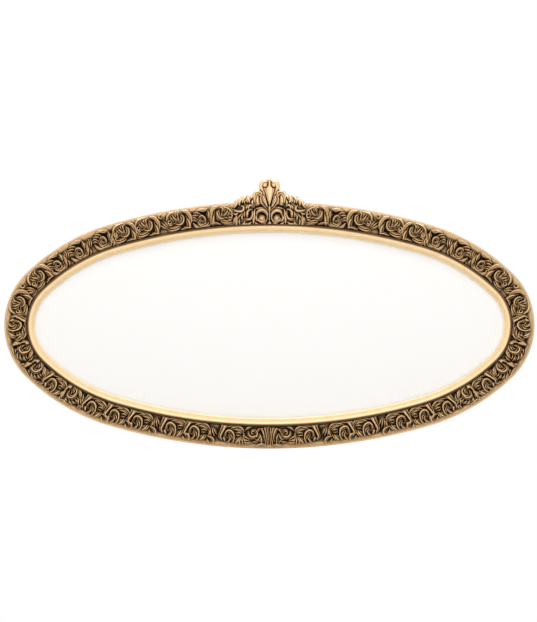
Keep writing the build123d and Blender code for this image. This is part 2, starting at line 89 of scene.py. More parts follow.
def bearingAt(length):
    # bearing of the outward normal, degrees, at a length along the band from the right end;
    # lengths below zero run along the lower half
    length = np.asarray(length, float)
    left = np.abs(length)
    bearing = np.zeros_like(left)
    for (_, last, _, _, radius), span in zip(arcs, arcLengths):
        part = np.clip(left, 0, span if last < 90 else None)
        bearing += np.degrees(part / (radius + oval["bandMiddle"]))
        left = left - part
    return np.sign(length) * bearing


def ovalPoint(bearing, offset):
    # place on the oval at any bearing, mm, offset outward from the sight edge
    bearing, offset = np.broadcast_arrays(np.asarray(bearing, float), np.asarray(offset, float))
    turned = (bearing + 180) % 360 - 180
    right = np.where(np.cos(np.radians(turned)) >= -1e-12, 1.0, -1.0)
    upper = np.where(turned >= 0, 1.0, -1.0)
    folded = np.abs(turned)
    folded = np.where(folded > 90, 180 - folded, folded)
    x, z = np.zeros_like(folded), np.zeros_like(folded)
    for first, last, cx, cz, radius in arcs:
        here = (folded >= first - 1e-9) & (folded <= last + 1e-9)
        x = np.where(here, cx + (radius + offset) * np.cos(np.radians(folded)), x)
        z = np.where(here, cz + (radius + offset) * np.sin(np.radians(folded)), z)
    return x * right, z * upper


def makeMesh(name, points, faces, material, replaced, slot, body="frame", attributes=None, sharp=60):
    mesh = bpy.data.meshes.new(name)
    mesh.from_pydata((np.asarray(points) * mm).tolist(), [], faces)
    for key, values in (attributes or {}).items():
        layer = mesh.attributes.new(key, "FLOAT", "POINT")
        layer.data.foreach_set("value", np.asarray(values, np.float32).ravel())
    mesh.validate()
    mesh.polygons.foreach_set("use_smooth", [True] * len(mesh.polygons))
    mesh.set_sharp_from_angle(angle=math.radians(sharp))
    mesh.update()
    mesh.materials.append(material)
    piece = bpy.data.objects.new(name, mesh)
    bpy.context.scene.collection.objects.link(piece)
    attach(piece, body)
    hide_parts(*replaced)


def ringStack(rings, closed=False):
    # skin over rings of equal point count; a stack that isn't closed gets a cap at both ends
    count = len(rings[0])
    faces = []
    for i in range(len(rings) if closed else len(rings) - 1):
        a, b = i * count, (i + 1) % len(rings) * count
        for k in range(count):
            following = (k + 1) % count
            faces.append([a + k, a + following, b + following, b + k])
    if not closed:
        faces.append(list(range(count))[::-1])
        faces.append([(len(rings) - 1) * count + k for k in range(count)])
    return np.vstack(rings), faces


# Materials
def hexColour(code):
    def linear(v):
        v = int(v, 16) / 255
        return v / 12.92 if v <= 0.04045 else ((v + 0.055) / 1.055) ** 2.4
    code = code.lstrip("#")
    return tuple(linear(code[i:i + 2]) for i in (0, 2, 4)) + (1.0,)


def addNode(tree, kind, settings=None, links=None):
    node = tree.nodes.new(kind)
    for key, value in (settings or {}).items():
        if key == "stops":                   # places and hex colours on a colour ramp
            for stop, (place, code) in zip(node.color_ramp.elements, value):
                stop.position = place
                stop.color = hexColour(code)
        elif isinstance(key, int) or key in node.inputs:
            node.inputs[key].default_value = value
        else:
            setattr(node, key, value)
    for key, source in (links or {}).items():
        tree.links.new(source, node.inputs[key])
    return node


def startMaterial(name, settings):
    material = bpy.data.materials.new(name)
    material.use_nodes = True
    tree = material.node_tree
    tree.nodes.clear()
    shader = addNode(tree, "ShaderNodeBsdfPrincipled", settings)
    addNode(tree, "ShaderNodeOutputMaterial", links={"Surface": shader.outputs[0]})
    return material, tree, shader


# Gold leaf in every finish
goldLeaf = {
    "lap": 12.0,                             # clouds from leaf laps and hand rubbing, mm
    "speck": 1.2, "tooth": 0.2,              # grain of the wiped wax and its depth, mm
    "cloudFrom": 0.3, "cloudTo": 0.7,
    "burnished": -0.06, "waxed": 0.25,       # added to the roughness without and with the umber and painted shade
}


def gildedMaterial(name, finish):
    # Bronze-gold leaf over gesso under a thin umber tone, with painted shade laid in the hollows and on the
    # flanks and painted highlight on the ridges. The eye sees warm, satin ridges and near-black recesses.
    material, tree, shader = startMaterial(name, {
        "Metallic": finish["metallic"], "Roughness": finish["roughness"],
        "Specular IOR Level": finish["specular"],
    })
    place = addNode(tree, "ShaderNodeTexCoord").outputs["Object"]
    # painted shade and painted highlight come in from the mesh attributes
    umberAndPaintedShade = addNode(tree, "ShaderNodeAttribute", {"attribute_name": "umberAndPaintedShade"}).outputs["Fac"]
    wearAndPaintedHighlight = addNode(tree, "ShaderNodeAttribute", {"attribute_name": "wearAndPaintedHighlight"}).outputs["Fac"]
    cloud = addNode(tree, "ShaderNodeTexNoise", {"Scale": 1 / (goldLeaf["lap"] * mm), "Detail": 4.0},
                    {"Vector": place})
    speck = addNode(tree, "ShaderNodeTexNoise", {"Scale": 1 / (goldLeaf["speck"] * mm), "Detail": 3.0},
                    {"Vector": place})
    clouds = ((goldLeaf["cloudFrom"], finish["deep"]), (goldLeaf["cloudTo"], finish["gold"]))
    tone = addNode(tree, "ShaderNodeValToRGB", {"stops": clouds}, {"Fac": cloud.outputs["Fac"]})
    lit = addNode(tree, "ShaderNodeMix", {"data_type": "RGBA", 7: hexColour(finish["wearAndPaintedHighlight"])},
                  {0: wearAndPaintedHighlight, 6: tone.outputs["Color"]})
    # the umber and painted shade break up a little, as wiped-off wax does
    broken = addNode(tree, "ShaderNodeMath", {"operation": "MULTIPLY_ADD", 1: finish["breakUp"],
                                              2: -finish["breakUp"] / 2}, {0: speck.outputs["Fac"]})
    laid = addNode(tree, "ShaderNodeMath", {"operation": "ADD", "use_clamp": True},
                   {0: umberAndPaintedShade, 1: broken.outputs[0]})
    colour = addNode(tree, "ShaderNodeMix", {"data_type": "RGBA", 7: hexColour(finish["umberAndPaintedShade"])},
                     {0: laid.outputs[0], 6: lit.outputs[2]})
    tree.links.new(colour.outputs[2], shader.inputs["Base Color"])
    gloss = {3: finish["roughness"] + goldLeaf["burnished"], 4: finish["roughness"] + goldLeaf["waxed"]}
    rough = addNode(tree, "ShaderNodeMapRange", gloss, {0: laid.outputs[0]})
    tree.links.new(rough.outputs[0], shader.inputs["Roughness"])
    bump = addNode(tree, "ShaderNodeBump", {"Strength": finish["bump"], "Distance": goldLeaf["tooth"] * mm},
                   {"Height": speck.outputs["Fac"]})
    tree.links.new(bump.outputs[0], shader.inputs["Normal"])
    return material


carvedFinish = {"gold": "#D0AA7A", "deep": "#A27E56", "wearAndPaintedHighlight": "#EECA97", "umberAndPaintedShade": "#1E1107",
                "metallic": 0.25, "roughness": 0.42, "specular": 0.2, "breakUp": 0.22, "bump": 0.25}
plainFinish = {"gold": "#FFE5B0", "deep": "#FDD9A5", "wearAndPaintedHighlight": "#FFEFC2", "umberAndPaintedShade": "#7A5432",
               "metallic": 0.15, "roughness": 0.36, "specular": 0.4, "breakUp": 0.05, "bump": 0.06}
carvedGilding = gildedMaterial("gold leaf with painted shade and highlight", carvedFinish)
plainGilding = gildedMaterial("burnished pale gold leaf", plainFinish)

# Wood lengths: the gold on their rim, and the bare wood with its rings, mm
rimFinish = {"gold": "#F1CC9B", "deep": "#E4BB89", "umberAndPaintedShade": "#7E5A38", "lap": 14.0, "roughness": 0.4}
bareWood = {"light": "#D9B98C", "dark": "#B98F5F", "ring": 3.0, "tooth": 0.2, "bump": 0.25, "roughness": 0.72,
            "drawnOut": 0.06}                # scale along the length, which stretches the grain


def segmentMaterial(name, grainTurn):
    # Basswood, planed and left bare behind; gesso and gold leaf on the front and the outer edge. The back
    # shows pale, straight grain; the front a satin, even gold with a line of painted shade in the quirk.
    material, tree, shader = startMaterial(name, {"Roughness": 0.5})
    place = addNode(tree, "ShaderNodeTexCoord").outputs["Object"]
    gilt = addNode(tree, "ShaderNodeAttribute", {"attribute_name": "gilt"}).outputs["Fac"]
    umberAndPaintedShade = addNode(tree, "ShaderNodeAttribute", {"attribute_name": "umberAndPaintedShade"}).outputs["Fac"]
    turned = addNode(tree, "ShaderNodeMapping", {"Rotation": (0, math.radians(grainTurn), 0)},
                     {"Vector": place})
    drawn = addNode(tree, "ShaderNodeMapping", {"Scale": (bareWood["drawnOut"], 1.0, 1.0)},
                    {"Vector": turned.outputs[0]})
    grain = addNode(tree, "ShaderNodeTexNoise",
                    {"Scale": 1 / (bareWood["ring"] * mm), "Detail": 5.0, "Distortion": 0.4},
                    {"Vector": drawn.outputs[0]})
    rings = ((0.3, bareWood["dark"]), (0.68, bareWood["light"]))
    wood = addNode(tree, "ShaderNodeValToRGB", {"stops": rings}, {"Fac": grain.outputs["Fac"]})
    cloud = addNode(tree, "ShaderNodeTexNoise", {"Scale": 1 / (rimFinish["lap"] * mm), "Detail": 4.0},
                    {"Vector": place})
    clouds = ((goldLeaf["cloudFrom"], rimFinish["deep"]), (goldLeaf["cloudTo"], rimFinish["gold"]))
    leaf = addNode(tree, "ShaderNodeValToRGB", {"stops": clouds}, {"Fac": cloud.outputs["Fac"]})
    toned = addNode(tree, "ShaderNodeMix", {"data_type": "RGBA", 7: hexColour(rimFinish["umberAndPaintedShade"])},
                    {0: umberAndPaintedShade, 6: leaf.outputs["Color"]})
    # the edge of the gilding follows the grain
    ragged = addNode(tree, "ShaderNodeMath", {"operation": "MULTIPLY_ADD", 1: 0.5, 2: -0.25},
                     {0: grain.outputs["Fac"]})
    covered = addNode(tree, "ShaderNodeMath", {"operation": "ADD", "use_clamp": True},
                      {0: gilt, 1: ragged.outputs[0]})
    sharp = addNode(tree, "ShaderNodeMapRange", {1: 0.45, 2: 0.55}, {0: covered.outputs[0]})
    colour = addNode(tree, "ShaderNodeMix", {"data_type": "RGBA"},
                     {0: sharp.outputs[0], 6: wood.outputs["Color"], 7: toned.outputs[2]})
    tree.links.new(colour.outputs[2], shader.inputs["Base Color"])
    rough = addNode(tree, "ShaderNodeMapRange", {3: bareWood["roughness"], 4: rimFinish["roughness"]},
                    {0: sharp.outputs[0]})
    tree.links.new(rough.outputs[0], shader.inputs["Roughness"])
    bump = addNode(tree, "ShaderNodeBump", {"Strength": bareWood["bump"], "Distance": bareWood["tooth"] * mm},
                   {"Height": grain.outputs["Fac"]})
    tree.links.new(bump.outputs[0], shader.inputs["Normal"])
    return material


# Carving: every form is a stroke, a line with a half width and a height that change along it.
# Strokes are laid over each other on a height map, the highest one showing.
relief = {
    "step": 0.42,                            # mesh step, mm
    "ground": 20.0,                          # front face of the wood, mm forward of the wall
    "inner": 13.5, "outer": 47.0,            # offsets of the carved strip's edges
    "strip": 2.0,                            # thickness of the strip between the forms
    "stripEdge": 0.25, "stripRise": 12.0,    # its share at the edges, and how soon it is full
    "wallFoot": 0.6, "wallSlope": 4.0,       # how the forms end at the strip's edges
    "roundness": 0.8,                        # power of the ridge section, 0.5 a half round, 1 a sharper ridge
    "lean": 0.3,                             # how far the ridge line sits to one side, in half widths
    "plump": 1.6,                            # how full the ridges are cut
    "bedFrom": 3.5,                          # half width from which a stroke is a bed under the leaves, mm
    "foot": 0.3,                             # height at the edge of a form, as a share
    "skirt": 1.0, "skirtRise": 0.3,          # slope at the foot, in half widths, and its share of the rise
    "vein": 0.22,                            # width of the vein down a broad leaf, in half widths
    "cut": 0.6,                              # second cut along a leaf, depth as a share
    "cutAt": -0.3, "cutWidth": 0.26,         # its place and width, in half widths
    "cutFrom": 1.7, "cutTo": 6.0,            # half widths of the leaves that get it, mm
    "pitFloor": 0.3,                         # what the deepest pit leaves of the strip, mm
    "knobFlankShade": 0.6,                         # knobs get less of the painted flank shade
    "crestShoulder": 79.0, "palmetteShoulder": 42.0,     # lengths that the swirls of the solids leave free
    "upperCount": 10, "lowerCount": 11,
    "seamAfter": (2, 6),                     # swirls after which a band ends
    "crestHalf": 58.0, "palmetteHalf": 22.0,
    "seam": 0.05,
    "sharp": 80,                             # degrees
}


def spiral(centre, startRadius, endRadius, startDegrees, endDegrees):
    count = max(6, int(abs(endDegrees - startDegrees) / 16))
    turn = np.radians(np.linspace(startDegrees, endDegrees, count))
    radius = np.linspace(startRadius, endRadius, count)
    return [(centre[0] + r * math.cos(t), centre[1] + r * math.sin(t)) for r, t in zip(radius, turn)]


def smoothLine(points, count):
    # cubic curve through the points, evenly sampled along each span
    points = np.asarray(points, float)
    if len(points) == 2:
        share = np.linspace(0, 1, count)[:, None]
        return points[0] * (1 - share) + points[1] * share
    ends = np.vstack([2 * points[0] - points[1], points, 2 * points[-1] - points[-2]])
    spans = len(points) - 1
    where = np.linspace(0, spans, count)
    i = np.minimum(where.astype(int), spans - 1)
    t = (where - i)[:, None]
    a, b, c, d = ends[i], ends[i + 1], ends[i + 2], ends[i + 3]
    return 0.5 * (2 * b + (c - a) * t + (2 * a - 5 * b + 4 * c - d) * t**2 + (3 * b - 3 * c + d - a) * t**3)


def strokeLine(stroke):
    points, widths, heights = stroke[:3]
    line = smoothLine(points, max(10, 5 * len(points)))
    run = np.concatenate([[0], np.cumsum(np.hypot(*np.diff(line, axis=0).T))])
    share = run / max(run[-1], 1e-9)
    width = np.interp(share, np.linspace(0, 1, len(widths)), widths)
    if max(heights) > 0 and max(widths) < relief["bedFrom"]:
        width = width * relief["plump"]
    height = np.interp(share, np.linspace(0, 1, len(heights)), heights)
    return line, width, height


def layStroke(across, up, surface, flank, stroke, silhouette=None, margin=0.0):
    # raises or cuts the height map; the flank map keeps how far each point lies from its ridge, 0 to 1
    line, width, height = strokeLine(stroke)
    reach = width.max() * (1 + relief["skirt"]) + margin + 1.0
    i0, i1 = np.searchsorted(across, [line[:, 0].min() - reach, line[:, 0].max() + reach])
    j0, j1 = np.searchsorted(up, [line[:, 1].min() - reach, line[:, 1].max() + reach])
    if i0 >= i1 or j0 >= j1:
        return
    gridX, gridY = np.meshgrid(across[i0:i1], up[j0:j1], indexing="ij")
    best = np.full(gridX.shape, 9.0)         # distance from the line, in half widths
    side = np.zeros_like(best)
    tall = np.zeros_like(best)
    edge = np.full(gridX.shape, -9.0)
    for k in range(len(line) - 1):
        ax, ay = line[k]
        dx, dy = line[k + 1] - line[k]
        share = np.clip(((gridX - ax) * dx + (gridY - ay) * dy) / (dx * dx + dy * dy + 1e-12), 0, 1)
        distance = np.hypot(gridX - ax - share * dx, gridY - ay - share * dy)
        wide = width[k] + (width[k + 1] - width[k]) * share
        ratio = distance / wide
        nearer = ratio < best
        best = np.where(nearer, ratio, best)
        side = np.where(nearer, np.sign(dx * (gridY - ay) - dy * (gridX - ax)), side)
        tall = np.where(nearer, height[k] + (height[k + 1] - height[k]) * share, tall)
        edge = np.maximum(edge, wide + margin - distance)
    isRaised = height.max() > 0
    isKnob = len(stroke[0]) == 2             # round knobs stand upright
    lean = 0.0 if isKnob else relief["lean"]
    offRidge = side * best
    off = np.where(offRidge > lean, (offRidge - lean) / (1 - lean), (lean - offRidge) / (1 + lean))
    off = np.clip(off, 0, 1)
    form = (1 - off**2) ** relief["roundness"]
    isCutLeaf = isRaised and not isKnob and relief["cutFrom"] < width.max() < relief["cutTo"]
    if len(stroke) > 3:                      # a leaf with a vein down its middle
        form = form * (1 - stroke[3] * np.exp(-(best / relief["vein"]) ** 2))
    elif isCutLeaf and silhouette is None:   # not on the crest
        groove = np.exp(-((offRidge - relief["cutAt"]) / relief["cutWidth"]) ** 2) * (best < 1)
        form = form * (1 - relief["cut"] * groove)
        off = np.maximum(off, groove)
    part = surface[i0:i1, j0:j1]
    shade = flank[i0:i1, j0:j1]
    if isRaised:
        skirt = relief["skirtRise"] * np.clip(1 - (best - 1) / relief["skirt"], 0, 1)
        raised = tall * np.where(best < 1, relief["foot"] + (1 - relief["foot"]) * form, skirt)
        slope = relief["knobFlankShade"] * off if isKnob else off
        flank[i0:i1, j0:j1] = np.where(raised > part, np.where(best < 1, slope, 1.0), shade)
        surface[i0:i1, j0:j1] = np.maximum(part, raised)
        if silhouette is not None:
            silhouette[i0:i1, j0:j1] = np.maximum(silhouette[i0:i1, j0:j1], edge)
    else:
        surface[i0:i1, j0:j1] = np.where(best < 1, np.maximum(part + tall * form, relief["pitFloor"]), part)
        flank[i0:i1, j0:j1] = np.where(best < 1, np.maximum(shade, form), shade)


def blurred(surface, radius):
    size = max(1, int(round(radius / relief["step"])))
    kernel = np.exp(-0.5 * (np.arange(-2 * size, 2 * size + 1) / size) ** 2)
    kernel /= kernel.sum()
    out = surface
    for axis in (0, 1):
        pad = [(0, 0), (0, 0)]
        pad[axis] = (2 * size, 2 * size)
        wider = np.pad(out, pad, "edge")
        out = np.apply_along_axis(lambda row: np.convolve(row, kernel, "valid"), axis, wider)
    return out


# Painted shade and painted highlight over a thin umber tone: darker below the neighbours, lighter above
toning = {
    "all": 0.10,
    "below": 0.3,                            # more on the lower half of the frame
    # painted shade down the flanks of each form, away from its ridge
    "flank": 0.5, "flankPower": 1.5,
    "open": 0.15,                            # painted shade on the ground between the forms
    "fine": 0.55, "fineRadius": 1.3,         # neighbours within this radius, mm
    "broad": 0.2, "broadRadius": 4.0,
    "deep": 0.05, "deepBelow": 5.0,          # more for each mm below this height
    "highlightFine": 0.6, "highlightBroad": 0.10,
    "rimFrom": 40.0, "rimTo": 45.5,          # offsets over which the outer strip loses painted shade and gains painted highlight
    "rimLift": 0.75, "rimHighlight": 0.45,
    "rimTop": 8.0, "rimFade": 4.0, "rimLeast": 0.25,     # less of that on forms up to this height, mm
}


def paintedShadeAndHighlight(surface, flank, extra=0.0):
    # painted shade in hollows, on flanks and in low places; painted highlight on the ridges
    fine = blurred(surface, toning["fineRadius"]) - surface
    broad = blurred(surface, toning["broadRadius"]) - surface
    deep = np.clip(toning["deepBelow"] - surface, 0, None)
    laid = toning["all"] + extra + toning["fine"] * fine + toning["broad"] * broad + toning["deep"] * deep
    umberAndPaintedShade = np.clip(laid + toning["flank"] * flank ** toning["flankPower"], 0, 1)
    wearAndPaintedHighlight = np.clip(-toning["highlightFine"] * fine - toning["highlightBroad"] * broad, 0, 1) * (1 - flank)
    return umberAndPaintedShade, wearAndPaintedHighlight


def rimLight(umberAndPaintedShade, wearAndPaintedHighlight, surface, across):
    # painted highlight: the flat strip beside the outer edge loses its painted shade and shows light gold
    clean = np.clip((across - toning["rimFrom"]) / (toning["rimTo"] - toning["rimFrom"]), 0, 1)
    clean = clean * np.clip((toning["rimTop"] - surface) / toning["rimFade"], toning["rimLeast"], 1)
    return np.clip(umberAndPaintedShade - toning["rimLift"] * clean, 0, 1), np.clip(wearAndPaintedHighlight + toning["rimHighlight"] * clean, 0, 1)


def placed(strokes, origin, turn=0.0, size=1.0, flipAlong=False):
    # strokes moved to a place on the band, turned, scaled and mirrored
    cos, sin = math.cos(math.radians(turn)) * size, math.sin(math.radians(turn)) * size
    hand = -1 if flipAlong else 1
    out = []
    for points, widths, heights, *vein in strokes:
        moved = [(origin[0] + hand * (a * cos - b * sin), origin[1] + (a * sin + b * cos)) for a, b in points]
        out.append((moved, [w * size for w in widths], heights, *vein))
    return out


# Motifs, mm: first number along the band, second outward across it
rosette = [
    ([(-12, -3), (0, -3), (12, -3)], (9, 13, 9), (4.5, 5.5, 4.5)),
    ([(-17.8, 0.1), (-15.6, 5.4), (-11.5, 9.2), (-5.5, 11.6), (1, 12.2)],
     (1.2, 2.0, 2.2, 1.9, 0.8), (8, 9.5, 10, 9.5, 7)),
    ([(2.4, 10.5), (-1.3, 7.8), (-0.1, 2.9)], (0.8, 1.7, 0.8), (10, 13, 9.5)),
    ([(-2.6, 10.8), (-4.8, 7.4), (-3.6, 2.8)], (0.6, 1.3, 0.6), (9, 11.5, 9)),
    ([(-8.7, 6.9), (-7.7, 2.9), (-4.3, -1.4), (-1.1, -2.9)], (0.8, 1.6, 1.5, 0.7), (9, 12, 11.5, 8.5)),
    ([(-11.8, 5.6), (-11.2, 1.6), (-8.2, -2.6)], (0.6, 1.3, 0.6), (8.5, 10.5, 8)),
    (spiral((-14, -3.7), 3.0, 2.6, 60, 380), (0.6, 1.0, 1.0, 0.6), (8, 10, 10, 8)),
    ([(-17.4, -7.4), (-13.7, -9.4), (-10, -7.4)], (0.6, 1.4, 0.6), (8, 10.5, 8)),
    ([(4.6, 5.5), (7.4, 2.6), (7.9, -0.5), (6.9, -4.4), (3.4, -8), (-1.2, -8.6), (-5.5, -6.8)],
     (0.8, 1.4, 1.8, 1.9, 1.8, 1.4, 0.6), (9, 11, 12, 12.5, 12.5, 11, 8.5)),
    ([(3.8, 4), (4.6, 0), (3.2, -4.2), (0.4, -5.8)], (0.6, 1.2, 1.1, 0.6), (8, 9.5, 9.5, 8)),
    ([(7.4, 11.6), (13, 9.4), (16.3, 6.2), (18.6, 0.5), (19.2, -5.8), (17.8, -10.7)],
     (0.8, 2.0, 2.5, 2.5, 2.1, 0.8), (8, 10.5, 11.5, 11.5, 10.5, 8), 0.3),
    ([(13.0, -1.6), (15, -6.8), (15.6, -12), (15.6, -15.2)], (0.8, 2.0, 2.5, 1.7), (11, 14, 14, 11.5)),
    ([(16.8, -15.8), (11.5, -15.2), (6.9, -16.2), (2.1, -17.4)], (1.3, 1.4, 1.2, 0.6), (11.5, 11, 9.5, 7)),
    ([(0.8, -11.3), (-3.7, -11.8), (-8.4, -13), (-15.6, -12.2)], (0.8, 1.5, 1.5, 0.7), (9.5, 12, 11.5, 8)),
    ([(1.4, -13.4), (-1.8, -14.8), (-6.5, -16), (-12, -16.2), (-18.1, -14.6)], (0.7, 1.4, 1.6, 1.4, 0.7),
     (9, 11.5, 11.5, 10, 7)),
    ([(-9, -18), (-14, -18.2), (-19, -17.4)], (0.6, 1.2, 0.6), (7.5, 9, 7)),
    ([(2.2, 5), (2.0, -1.2)], (1.2, 1.1), (-6, -5)),
    ([(10.2, 6.5), (11, -2), (9.8, -9.5), (7.4, -12.6)], (0.9, 1.7, 1.4, 0.9), (-6, -7, -6.5, -5)),
    ([(-10.4, -4.8), (-6.2, -4.2)], (1.1, 1.0), (-5, -5)),
    ([(-13.6, 3.8), (-14.2, 0.6)], (0.9, 0.8), (-4, -4)),
]
scroll = [
    ([(-10, 2), (2, -1), (14, -4)], (9, 12, 8), (4.5, 5.5, 4.5)),
    ([(-11.9, -14.6), (-13.5, -8.6), (-16.2, -0.9), (-17, 3.8), (-14, 8.9)], (3.1, 2.9, 2.1, 1.8, 0.9),
     (13, 13.5, 12, 10.5, 7)),
    ([(-15.6, -14.8), (-12.2, -16.2), (-7.4, -14)], (0.9, 1.3, 0.7), (12, 14, 10)),
    ([(-8.5, 4), (-8.3, 1.3), (-7.4, -3.9), (-3.9, -6.7), (0.8, -5.8), (4.2, -2.3), (5.8, 3.1), (5.3, 8.8),
      (4.0, 12.6)], (0.6, 1.2, 1.7, 2.1, 2.1, 2.0, 1.8, 1.5, 0.8), (7, 9, 12, 13, 13, 12.5, 11, 9.5, 6.5)),
    ([(-1.6, -2.2), (-0.6, 0.1), (2.1, 2.5), (3.0, 6.8)], (0.5, 1.1, 1.4, 0.6), (8, 10, 11, 8)),
    ([(-1.9, 2.4), (-0.4, 6.0), (-1.9, 9.9), (-4.8, 12.6)], (0.9, 1.4, 1.3, 0.6), (9, 11, 10, 7)),
    ([(-9.9, 6.0), (-8.0, 9.4)], (1.5, 0.9), (9.5, 7)),
    ([(-8, -12.6), (-1, -14.4), (5, -15.4), (9, -15.3), (14.2, -14), (19.1, -11.4), (21.3, -8.4)],
     (0.6, 0.9, 1.0, 1.4, 1.8, 1.6, 0.9), (9, 9.5, 10, 11.5, 12, 11, 8)),
    ([(-0.5, -10.6), (4.2, -12.6), (8.7, -13)], (0.8, 1.5, 0.8), (9.5, 12.5, 10)),
    ([(3.5, -9.9), (9.2, -9.6), (15.1, -8), (18.3, -5.6)], (0.8, 1.5, 1.4, 0.6), (9.5, 12, 11, 8)),
    ([(8.5, -11.8), (13.5, -11.2), (18, -8.8), (20, -5.4)], (0.6, 1.1, 1.0, 0.5), (9, 10, 9.5, 7)),
    ([(9.8, -4.2), (13.3, -5.4), (17.4, -4.4)], (0.8, 1.6, 0.8), (9, 12, 9)),
    ([(21, -6.6), (21.9, -1.1), (20.6, 3.4)], (0.7, 1.4, 0.6), (8, 10, 7)),
    ([(14.8, 2.4), (11.8, 7.2), (9.8, 10.8)], (1.0, 2.3, 1.2), (8, 11.5, 8)),
    ([(18, 1.6), (16.4, 6), (12.8, 11.4)], (0.6, 1.3, 0.6), (7, 9, 6.5)),
    ([(9.2, -1.2), (13, -0.6), (17, -1.6)], (0.6, 1.1, 0.5), (7.5, 9.5, 7)),
    ([(7.2, -5.4), (7.9, -1), (8.6, 3.4)], (1.0, 1.5, 1.0), (-6, -7, -5)),
    ([(-8.6, -9.8), (-11.4, -3.5), (-12.2, 3.2)], (1.3, 1.7, 1.2), (-6, -6, -5)),
    ([(-4.4, -2.6), (-5.2, 2.4)], (1.8, 1.5), (-6, -5)),
    ([(0.8, 8.6), (1.6, 11.6)], (1.0, 0.8), (-4, -4)),
]
wave = [
    ([(-9, -2), (0, -4), (8, -4)], (8, 11, 8), (4.5, 5.5, 4.5)),
    ([(-5.5, 13.6), (2, 13.2), (9, 12.8)], (1.4, 2.4, 1.8), (9.5, 10.5, 10.5)),
    ([(-1.7, 13.6), (3.5, 11.4), (7.8, 11.6), (11, 13)], (0.6, 1.1, 1.1, 0.7), (11, 13.5, 13.5, 12)),
    ([(-7.3, 13.2), (-3.5, 15.2), (4, 15.4), (11.5, 13.8)], (0.5, 0.9, 0.9, 0.6), (9, 11.5, 11.5, 11)),
    ([(11.6, 11), (11.6, 5.4), (10, -0.8)], (0.8, 2.0, 0.8), (11.5, 14, 10)),
    ([(15, 6.4), (15, 0), (13.8, -6), (12.2, -10.5)], (0.7, 1.8, 1.8, 0.8), (8.5, 10.5, 10.5, 8), 0.3),
    ([(-10.7, 11.3), (-6.1, 10.6), (-0.9, 7.4)], (0.7, 1.5, 0.7), (9.5, 12.5, 9.5)),
    ([(-14, 6.8), (-10.2, 7.3), (-4.4, 5.8)], (0.7, 1.5, 0.7), (9, 12, 9)),
    ([(-15.6, 3.2), (-12.3, 3.8), (-9.2, 1.4)], (0.7, 1.5, 0.7), (8.5, 12, 8.5)),
    ([(-16.4, -0.8), (-13, 0), (-9.4, -2.4)], (0.6, 1.3, 0.6), (8, 10.5, 8)),
    ([(-4.6, 2), (-0.6, 4.4), (2.8, 2.6), (4.6, -2.4), (3.6, -6.4)],
     (0.7, 1.5, 1.8, 1.6, 0.7), (9, 12, 12.5, 11.5, 9)),
    ([(-3.2, 0.4), (-4.3, -3), (-3.2, -6.4)], (0.6, 1.3, 0.6), (9, 11.5, 9)),
    ([(-7.4, -1.8), (-6.5, -8.1), (-3.4, -12), (1.2, -13), (7.4, -11.4), (10.6, -7.6)],
     (0.6, 1.4, 1.5, 1.5, 1.4, 0.6), (8.5, 10, 10.5, 10.5, 10, 8)),
    ([(-5.6, -5), (-3, -9.2), (1.4, -10), (5.6, -8.2), (8, -4.6)],
     (0.6, 1.2, 1.4, 1.2, 0.6), (9, 10.5, 11, 10.5, 8.5)),
    ([(-15.2, -4.2), (-12.2, -9.6), (-8, -13.4), (-1, -14.4)],
     (0.7, 1.8, 1.8, 0.8), (7.5, 10, 10, 7.5), 0.3),
    ([(2, -14.6), (7.6, -13.6), (12.6, -11.6)], (0.6, 1.3, 0.6), (7.5, 9, 7)),
    ([(21.9, 9.8), (20.8, 4), (18, -1.8)], (0.6, 1.4, 0.6), (7, 10, 7)),
    ([(25, 8), (23.6, 2.6), (20.8, -3)], (0.6, 1.3, 0.6), (7, 9.5, 7)),
    ([(18.6, 8.4), (17.8, 3.4), (16, -0.6)], (0.5, 1.1, 0.5), (7, 9, 7)),
    ([(17.2, -4.4), (17.6, -9.4), (15.4, -13.4)], (0.6, 1.5, 0.7), (7, 9.5, 7)),
    ([(-3.5, 11.4), (4.7, 8.6), (7.6, 3), (8.4, -3.4), (5.8, -7.2)],
     (0.6, 1.3, 1.6, 1.3, 0.8), (-4, -7, -7.5, -6, -4)),
    ([(0.6, -0.4), (1.6, -2.2)], (1.8, 1.5), (-7, -6)),
    ([(-7, 3.8), (-5.6, 1.4)], (1.2, 1.1), (-5, -5)),
]
